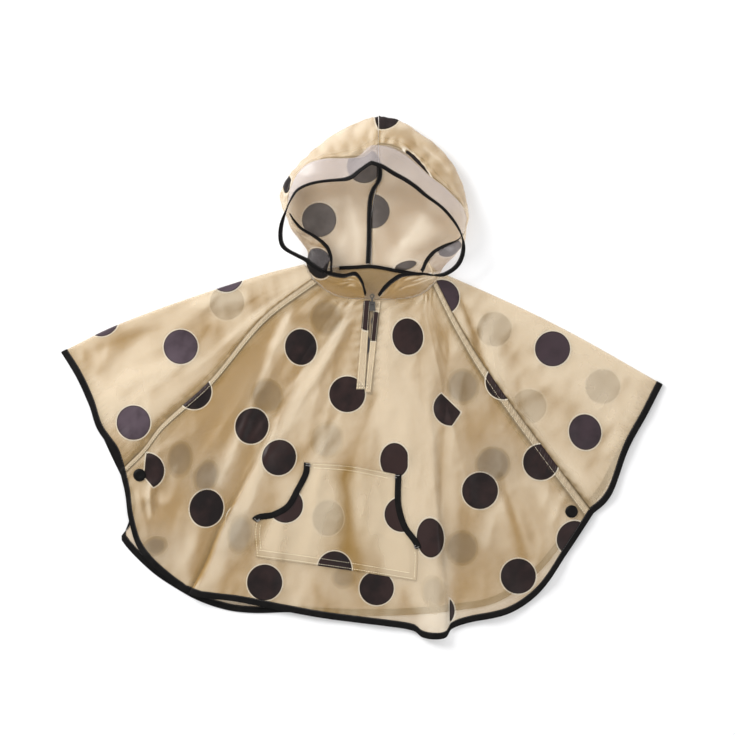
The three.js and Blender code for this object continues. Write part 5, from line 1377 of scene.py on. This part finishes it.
def hem_edge(points):
    """A panel's hem, and the way out of the panel along it."""
    edge = points[:, -1]
    step = points[:, -1] - points[:, -4]
    step[:, 2] = 0
    return edge, step / np.linalg.norm(step, axis=-1, keepdims=True)


panels = (front_points, side_points["right"], back_points[::-1], side_points["left"][::-1])
loop = [hem_edge(panel) for panel in panels]
hem_path = np.concatenate([edge[:-1] for edge, _ in loop])
hem_out = np.concatenate([step[:-1] for _, step in loop])
hem_lift = np.where(hem_path[:, 2:] < 2.0, 0.3, 0.0) * np.array([[0, 0, 1.0]])
hem_centre = hem_path + hem_out * (HEM_BINDING_WIDTH / 2 - 1.2) + hem_lift
hem_band = band_piece("hem_band", hem_centre, hem_out, HEM_BINDING_WIDTH + 1.6, 1.6, closed=True)
stand_in("hem_binding")

# Hood


def hood_point(side, at, kind):
    angle = np.radians(at)
    radius = read(HOOD[side], at, kind)
    x = HOOD_CENTRE[0] + HAND[side] * radius * np.sin(angle)
    y = HOOD_CENTRE[1] + radius * np.cos(angle)
    return np.stack([x, y, read(HOOD[side], at, f"{kind}_z")], axis=-1)


def hood_neck(side, at):
    point = np.stack([read(HOOD[side], at, name) for name in ("neck_x", "neck_y", "neck_z")], axis=-1)
    point[..., 2] = np.maximum(point[..., 2], BACK_Z)
    return point


def collar_share(side, at):
    return smooth(*HOOD_COLLAR[side], at)


def rim_across(side, at):
    under = mix(hood_point(side, at, "seam"), hood_neck(side, at), collar_share(side, at))
    return unit(hood_point(side, at, "rim") - under)


def rim_inside(side, at):
    """Where cloth or film ends under the binding of the hood's edge."""
    return hood_point(side, at, "rim") - rim_across(side, at) * (HOOD_BINDING_WIDTH / 2 - RIM_TUCK)


def through(points, places):
    """A centripetal curve through points, read at places from 0 to 1."""
    points = [np.asarray(p, float) for p in points]
    points = [2 * points[0] - points[1], *points, 2 * points[-1] - points[-2]]
    made = []
    for t in places:
        position = t * (len(points) - 3)
        k = min(int(position), len(points) - 4)
        p0, p1, p2, p3 = points[k : k + 4]
        steps = [max(np.linalg.norm(b - a) ** 0.5, 1e-4) for a, b in ((p0, p1), (p1, p2), (p2, p3))]
        leave = ((p1 - p0) / steps[0] - (p2 - p0) / (steps[0] + steps[1]) + (p2 - p1) / steps[1]) * steps[1]
        arrive = ((p2 - p1) / steps[1] - (p3 - p1) / (steps[1] + steps[2]) + (p3 - p2) / steps[2]) * steps[1]
        u = position - k
        curve = p1 + leave * u + (3 * (p2 - p1) - 2 * leave - arrive) * u**2
        made.append(curve + (2 * (p1 - p2) + leave + arrive) * u**3)
    return np.array(made)


def hood_strip(side, at, places):
    """One strip of the hood from the neck to the visor's seam: lying and turned up, or a standing collar."""
    neck = hood_neck(side, at)
    outline = hood_point(side, at, "outline")
    seam = hood_point(side, at, "seam")
    end = mix(seam, rim_inside(side, at), collar_share(side, at))
    standing = smooth(1.8, 5, neck[2])
    away = np.array([neck[0] - HOOD_CENTRE[0], neck[1] - HOOD_CENTRE[1], 0])
    away = unit(away) * 0.15 * np.linalg.norm(end - neck)

    def lying(share, height):
        return np.array([*mix(neck, outline, share)[:2], height])

    shoulder = np.array([*mix(outline, end, 0.5)[:2], mix(outline[2], end[2], 0.62)])
    flat = [lying(0.45, BACK_Z), lying(0.84, BACK_Z + 0.8), outline, shoulder]
    upright = [mix(neck, end, t) + away * 4 * t * (1 - t) for t in (0.25, 0.5, 0.7, 0.85)]
    middle = [mix(a, b, standing) for a, b in zip(flat, upright)]
    strip = through([neck, *middle, end], places)
    strip[:, 2] = np.maximum(strip[:, 2], BACK_Z)
    return strip


def lean_right(x, y):
    """The hood's centre seam leans to the right towards the top."""
    return CENTRE_LEAN * smooth(215, 300, y) * bell(x - HOOD_CENTRE[0], 48)


def hood_relief(hand, x, y, at, t, outside, standing, sunk):
    """How far the hood's cloth stands off its smooth form."""
    relief = 1.2 * ripple(at * 1.6, t * 90, 61 + hand, 46) + 0.5 * ripple(x, y, 63, 22)
    relief = relief + 0.9 * (1 - CREST * np.abs(ripple(at * 1.8, t * 110, 67 + hand, 26, 3)))
    relief = relief - mix(HOOD_FOLD_DEPTH, COLLAR_FOLD_DEPTH, standing) * sunk
    relief = relief + 0.8 * bell(1 - t, 0.10) * np.sin(at * 0.7 + 2.0 * np.sin(at / 7)) * (1 - standing)
    relief = relief + 1.6 * bell(at - 1.2, 0.9) * outside + ridged(x, y, 75 + hand, 62) * outside
    relief = relief + 1.2 * ridged(x, y, 77, 54) * (1 - outside)
    return relief + 1.3 * standing * np.sin(at * 1.25 + 2 * np.sin(at / 6)) * bell(t - 0.25, 0.25)


def hood_cloth(side):
    """One half of the hood, made: t runs from the neck to the visor's seam."""
    hand = HAND[side]
    rows = np.concatenate([np.linspace(0, 0.4, 34)[:-1], np.linspace(0.4, 1, 62)])
    directions = np.concatenate([np.linspace(0.2, 130, 84)[:-1], np.linspace(130, HOOD_END[side], 40)])
    plain = np.array([hood_strip(side, at, rows) for at in directions])
    plain[..., 0] += lean_right(plain[..., 0], plain[..., 1])
    x, y, z = (plain[..., axis] for axis in range(3))
    at, t = np.meshgrid(directions, rows, indexing="ij")
    outside = smooth(0.42, 0.52, t)
    standing = smooth(COLLAR_FROM - 6, COLLAR_FROM + 6, at)
    sunk = mix(folds(x, y, FOLDS_HOOD_INSIDE), folds(x, y, FOLDS_HOOD_OUTSIDE), outside)
    sunk = mix(sunk, folds(x, y, FOLDS_COLLAR), standing)
    wall_part = smooth(0.42, 0.6, t) * smooth(0, 0.05, 1 - t)
    gather = COLLAR_GATHER * bell(t, 0.05) * np.sin(at * 1.1 + 1.5 * np.sin(at / 5)) * smooth(120, 135, at)
    relief = wall_part * hood_relief(hand, x, y, at, t, outside, standing, sunk) + gather
    points = plain + grid_normals(plain, -hand) * relief[..., None]
    lying = smooth(0.02, 0.1, t) * (1 - wall_part) * smooth(0, 6, at)
    floor_fold = 0.7 * (1 + ripple(x, y, 65 + hand, 40)) * lying * (z < 4)
    points[..., 2] = np.maximum(points[..., 2], BACK_Z) + floor_fold

    # Deeper inside the hood and on its standing collar as painted shade, paler on its raised outside as
    # painted light
    base = HOOD_TONE + 0.06 * (1 - outside) - 0.22 * outside + 0.22 * standing
    shown = lit(points, plain, -hand) * (1 - 2 * outside)
    tone = np.clip(soft_tone(x, y, 71 + hand, base) + FOLD_TONE * sunk - LIT_GAIN * shown, 0, 1)
    low_left = smooth(88, 98, at) * outside * (1 - standing) * (side == "left")
    visor_join = (0.95 * bell(0.985 - t, 0.02) + 0.35 * bell(0.90 - t, 0.012)) * (1 - standing)
    neck_join = (0.5 * bell(t, 0.02) + 0.25 * bell(t - 0.1, 0.012)) * standing
    centre_join = 0.6 * bell(at, 0.5) + 0.3 * bell(at - 2.6, 0.5) * outside
    inner_dots, outer_dots = (dot_edge(x, y, dots[side]) for dots in DOTS_HOOD)
    values = {
        "dot": np.where((t < 0.5) & (at < COLLAR_FROM), inner_dots, outer_dots),
        "tone": np.clip(tone + 0.4 * low_left, 0, 1),
        "seam": np.maximum(visor_join, np.maximum(neck_join, centre_join)),
    }
    cloth = wall_piece(f"hood_cloth_{side}", points, -hand, ["hood_inside", "hood_outside", "edge"], values)
    stand_in(f"hood_{side}")


for side in HAND:
    hood_cloth(side)


def round_the_hood(ends, count):
    left = [("left", at) for at in np.linspace(ends["left"], 0, count)]
    right = [("right", at) for at in np.linspace(0, ends["right"], count)[1:]]
    return left + right


def visor_points():
    points = np.array([
        [mix(hood_point(side, at, "seam"), rim_inside(side, at), t) for t in np.linspace(0.01, 1, VISOR_ROWS)]
        for side, at in round_the_hood(VISOR_END, VISOR_COLUMNS)
    ])
    along = np.arange(len(points))[:, None] + 0 * points[..., 0]
    share = np.linspace(0, 1, VISOR_ROWS)[None, :] + 0 * along
    belly = np.sin(math.pi * share) * (1.2 + 0.9 * ripple(along * 2.0, share * 20, 81, 30))
    return points + grid_normals(points, 1) * (0.6 * belly)[..., None]


clearer = [CLEAR_LOW[side] * smooth(84, 98, at) for side, at in round_the_hood(VISOR_END, VISOR_COLUMNS)]
haze = 1 - np.array(clearer)[:, None] + 0.8 * bell(np.linspace(0, 1, VISOR_ROWS)[None, :], 0.06)
visor = wall_piece("visor_sheet", visor_points(), 1, ["film", "film", "film"], {"haze": haze}, FILM)
stand_in("visor")

rim = round_the_hood(HOOD_END, RIM_POINTS)
rim_path = np.array([hood_point(side, at, "rim") for side, at in rim])
rim_out = unit(np.array([rim_across(side, at) for side, at in rim]) * (1, 1, 0.6))
hood_band = band_piece("hood_edge_band", rim_path, rim_out, HOOD_BINDING_WIDTH, 1.7)
stand_in("hood_edge_binding")


def seam_tape(name, centres, across, width, node_name):
    tape = band_piece(name, np.array(centres), np.array(across), width, 1.0)
    stand_in(node_name)


centre_line = [(float(read(TAPE_LINE, y, "x")), y, TAPE_Z) for y in np.linspace(160, 300, 80)]
seam_tape("hood_center_tape", centre_line, [(1.0, 0, 0)] * 80, 6.5, "hood_center_seam_binding")
neck_line = [(*(plan_point(NECK_BACK, u) - (0, 1.5)), TAPE_Z - 0.4) for u in np.linspace(0.12, 0.94, 60)]
seam_tape("back_neck_tape", neck_line, [(0, 1.0, 0)] * 60, 5.0, "back_neck_seam_binding")


def visor_tape(side, start, end):
    centres, across = [], []
    for at in np.linspace(start, end, 60):
        seam = hood_point(side, at, "seam")
        way = unit(hood_point(side, at, "rim") - seam)
        ahead = hood_point(side, at + 1, "seam") - hood_point(side, at - 1, "seam")
        centres.append(seam + unit(np.cross(ahead, way) * HAND[side]) * 1.3)
        across.append(way)
    seam_tape(f"visor_tape_{side}", centres, across, 5.5, f"visor_seam_binding_{side}")


visor_tape("left", 92, 147)
visor_tape("right", 104, 140)

# Pocket

pocket_plan = panel_plan(POCKET["top"], POCKET["bottom"], POCKET["left"], POCKET["right"])


def place_on_front(x, y):
    """The front panel's own place and how far down, for points in plan."""
    place = np.full(np.shape(x), 0.5)
    v = np.full(np.shape(x), 0.5)
    small = 1e-3
    for _ in range(25):
        here = front_plan(leaning(place, v), v)
        right = (front_plan(leaning(place + small, v), v) - here) / small
        below = (front_plan(leaning(place, v + small), v + small) - here) / small
        off_x, off_y = x - here[..., 0], y - here[..., 1]
        determinant = right[..., 0] * below[..., 1] - below[..., 0] * right[..., 1]
        place = place + (below[..., 1] * off_x - below[..., 0] * off_y) / determinant
        v = v + (right[..., 0] * off_y - right[..., 1] * off_x) / determinant
        place, v = np.clip(place, 0, 1), np.clip(v, 0, 1)
    return place, v


def on_front(x, y, lift):
    x, y = np.asarray(x, float), np.asarray(y, float)
    place, v = place_on_front(x, y)
    z = np.maximum(front_height(place, v) + front_detail(place, v, x, y), FRONT_LOWEST) + lift
    return np.stack([x, y, z], axis=-1)


pocket_u = np.linspace(0, 1, 96)[:, None]
pocket_v = np.linspace(0, 1, 70)[None, :]
pocket_xy = pocket_plan(pocket_u, pocket_v)
pocket_x, pocket_y = pocket_xy[..., 0], pocket_xy[..., 1]
pocket_edge = np.minimum(np.minimum(pocket_u, 1 - pocket_u) * 160, np.minimum(pocket_v, 1 - pocket_v) * 140)
pocket_waves = 0.18 * ripple(pocket_x, pocket_y, 91, 20) * smooth(0, 12, pocket_edge)
foot_waves = 0.22 * bell((1 - pocket_v) * 140, 7) * (1 + np.sin(pocket_u * 150 + 2 * np.sin(pocket_u * 17)))
pocket_lift = 0.9 + 1.5 * smooth(0, 30, pocket_edge) + pocket_waves + foot_waves
pocket_points = on_front(pocket_x, pocket_y, pocket_lift)
for _ in range(POCKET_SMOOTHING):
    z = pocket_points[..., 2]
    around = z[:-2, 1:-1] + z[2:, 1:-1] + z[1:-1, :-2] + z[1:-1, 2:]
    pocket_points[1:-1, 1:-1, 2] = (2 * z[1:-1, 1:-1] + around) / 6
pocket_place = place_on_front(pocket_x, pocket_y)
pocket_plain = pocket_points.copy()
pocket_plain[..., 2] = front_height(*pocket_place)
pocket_tone = front_tone(*pocket_place, pocket_x, pocket_y) + shades(pocket_x, pocket_y, SHADES["pocket"])
pocket_values = {
    "dot": dot_edge(pocket_x, pocket_y, DOTS_POCKET),
    "tone": np.clip(pocket_tone - LIT_GAIN * lit(pocket_points, pocket_plain, 1), 0, 1),
    "seam": 0.03 + 0.22 * (1 - smooth(6, 9, pocket_edge)),
}
pocket_cloth = wall_piece("pocket_cloth", pocket_points, 1, ["outside", "inside", "edge"], pocket_values)
stand_in("pocket_panel")

bar_tacks = []
for side, hand in HAND.items():
    mouth = plan_point(POCKET[side], np.linspace(0, POCKET_MOUTH_END, 70))
    ahead = np.gradient(mouth, axis=0)
    out = unit(np.stack([-ahead[:, 1], ahead[:, 0]], axis=-1) * hand)
    middle = mouth + out * 2.8
    path = on_front(middle[:, 0], middle[:, 1], POCKET_LIFT - 0.4)
    across = np.column_stack([out, np.zeros(len(out))])
    for k in TACK_PLACES:
        reach = across[k] * TACK_REACH
        bar_tacks.append(np.array([path[k] - reach, path[k] + reach]) + (0, 0, 1.3))
    band = band_piece(f"pocket_band_{side}", path, across, POCKET_BINDING_WIDTH, 1.5)
    stand_in(f"pocket_binding_{side}")
stitch_piece("pocket_bar_tacks", bar_tacks, "thread_grey", length=3.4, pitch=2.4, radius=0.55)


# Half zip


def welt_points(welt, across, down, lift):
    """Points of a slanting welt on the front panel, at places across and down it."""
    x = mix(mix(*welt["top"], across), mix(*welt["bottom"], across), down)
    return on_front(x, mix(welt["top_y"], welt["bottom_y"], down) + 0 * across, lift)


for side, welt in WELTS.items():
    edge = np.linspace(0, 1, 12)[:, None]
    points = welt_points(welt, edge, np.linspace(0, 1, 120)[None, :], WELT_LIFT)
    x, y = points[..., 0], points[..., 1]
    crown = 0.5 * np.sin(math.pi * edge) ** 0.5
    points[..., 2] += crown - 0.4 + 0.25 * ripple(x * 2, y, 97, 9)
    values = {
        "dot": dot_edge(x, y, DOTS_WELT[side]),
        "tone": np.full(y.shape, WELT_TONE),
        "seam": 0.25 * bell(edge, 0.08) + 0.25 * bell(1 - edge, 0.08) + 0 * y,
    }
    cloth = wall_piece(f"welt_cloth_{side}", points, 1, ["outside", "inside", "edge"], values, WELT_CLOTH)
    stand_in(f"zip_welt_{side}")

# Stitching

seam_runs = [fell_points(side, [FELL_STITCH], 260, fell_lift(side))[0] + (0, 0, STITCH_LIFT) for side in HAND]
stitch_piece("raglan_stitches", seam_runs, "thread_light")

steps = np.linspace(0, 1, RUN_POINTS)
pocket_runs = []
for left, right, top, bottom in POCKET_ROWS:
    plan = pocket_plan(mix(left, right, steps), mix(top, bottom, steps))
    pocket_runs.append(on_front(plan[:, 0], plan[:, 1], POCKET_STITCH_LIFT))
stitch_piece("pocket_stitches", pocket_runs, "thread_light")

hem_runs = [hem_centre - hem_out * (HEM_BINDING_WIDTH / 2 - 0.3) + (0, 0, 0.75)]
stitch_piece("hem_stitches", hem_runs, "thread_dark", length=2.6, pitch=3.6)

hood_up = unit(np.cross(rim_out, np.gradient(rim_path, axis=0)))
hood_inner = rim_path - rim_out * (HOOD_BINDING_WIDTH / 2 - 1.3)
hood_runs = [hood_inner + hood_up * sign * 0.85 for sign in (-1, 1)]
stitch_piece("hood_edge_stitches", hood_runs, "thread_dark", length=2.6, pitch=3.6)

tape_runs = [np.array(centre_line) + (offset, 0, 0.55) for offset in (-2.2, 2.2)]
stitch_piece("hood_tape_stitches", tape_runs, "thread_dark", length=2.6, pitch=3.6)

down = np.linspace(0.02, 0.985, RUN_POINTS)
welt_runs = [
    welt_points(welt, share, down, WELT_STITCH_LIFT) for welt in WELTS.values() for share in (0.12, 0.88)
]
foot_x = mix(WELTS["left"]["bottom"][0], WELTS["right"]["bottom"][1], np.linspace(0.06, 0.94, 12))
welt_runs += [on_front(foot_x, np.full(12, height), WELT_STITCH_LIFT) for height in WELT_FOOT_ROWS]
stitch_piece("welt_stitches", welt_runs, "thread_light", length=1.9, pitch=2.7, radius=0.22)

tacks = []
for side, hand in HAND.items():
    for end in (0.035, POCKET_MOUTH_END - 0.02):
        for step in (-0.006, 0.0, 0.006):
            here = plan_point(POCKET[side], end + step)
            beyond = plan_point(POCKET[side], end + step + 0.004)
            ahead = unit(beyond - here)
            out = np.array([-ahead[1], ahead[0]]) * hand
            ends = np.array([here + out * -1.2, here + out * 2.2, here + out * 5.6])
            tacks.append(on_front(ends[:, 0], ends[:, 1], POCKET_LIFT + 0.5))
stitch_piece("pocket_tacks", tacks, "thread_grey", length=3.2, pitch=2.4, radius=0.35)

# Snap fasteners


def turned_piece(name, profile, base, x, y, material):
    sides = 48
    angle = np.linspace(0, 2 * math.pi, sides, endpoint=False)
    rings = []
    for radius, height in zip(profile["radius"], profile["height"]):
        around_x, around_y = x + radius * np.cos(angle), y + radius * np.sin(angle)
        rings.append(np.column_stack([around_x, around_y, np.full(sides, base + height)]))
    index = np.arange(len(rings) * sides).reshape(len(rings), sides)
    wrap = np.concatenate([index, index[:, :1]], axis=1)
    faces = np.stack([wrap[:-1, :-1], wrap[1:, :-1], wrap[1:, 1:], wrap[:-1, 1:]], axis=-1).reshape(-1, 4)
    return make_mesh(name, np.concatenate(rings), faces, [material])


for side, (x, y) in SNAPS.items():
    for part, made in SNAP_PARTS.items():
        piece = turned_piece(f"snap_{part}_{side}", made["profile"], made["base"], x, y, "snap")
        stand_in(f"{made['node']}_{side}")

# The zip's own solids stay, in new materials
for name, material in CARRIED.items():
    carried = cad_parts[name]
    carried.data.materials.clear()
    carried.data.materials.append(MATERIALS[material])

# Floor, light and camera


def build_stage():
    bpy.ops.mesh.primitive_plane_add(size=FLOOR_SIZE, location=(0, 0, -FLOOR_DROP))
    floor = bpy.context.object
    floor.name = "floor"
    material, _, shader = blank_material("floor")
    shader.inputs["Base Color"].default_value = (*FLOOR, 1.0)
    shader.inputs["Roughness"].default_value = 0.9
    floor.data.materials.append(material)
    world = bpy.data.worlds.new("studio")
    world.use_nodes = True
    background = world.node_tree.nodes["Background"]
    background.inputs["Color"].default_value = (*WORLD, 1.0)
    background.inputs["Strength"].default_value = WORLD_STRENGTH
    bpy.context.scene.world = world
    for made in LIGHTS:
        light = bpy.data.lights.new(made["name"], "AREA")
        light.size = made["size"]
        light.energy = made["power"]
        lamp = bpy.data.objects.new(made["name"], light)
        lamp.location = made["place"]
        lamp.rotation_euler = (-Vector(made["place"])).to_track_quat("-Z", "Y").to_euler()
        bpy.context.collection.objects.link(lamp)


def build_camera():
    """Straight above, so that a pixel of the photograph is PHOTO_MM across."""
    middle_x = (PHOTO_SIZE / 2 - PHOTO_CENTRE[0]) * PHOTO_MM * MM
    middle_y = (PHOTO_CENTRE[1] - PHOTO_SIZE / 2) * PHOTO_MM * MM
    camera = bpy.data.cameras.new("camera")
    camera.sensor_width = SENSOR_MM
    camera.lens = SENSOR_MM * CAMERA_HEIGHT / (PHOTO_SIZE * PHOTO_MM * MM)
    camera.clip_end = CAMERA_REACH
    holder = bpy.data.objects.new("camera", camera)
    holder.location = (middle_x, middle_y, CAMERA_HEIGHT)
    bpy.context.collection.objects.link(holder)
    bpy.context.scene.camera = holder


build_stage()
build_camera()
bpy.context.scene.view_settings.view_transform = "Standard"
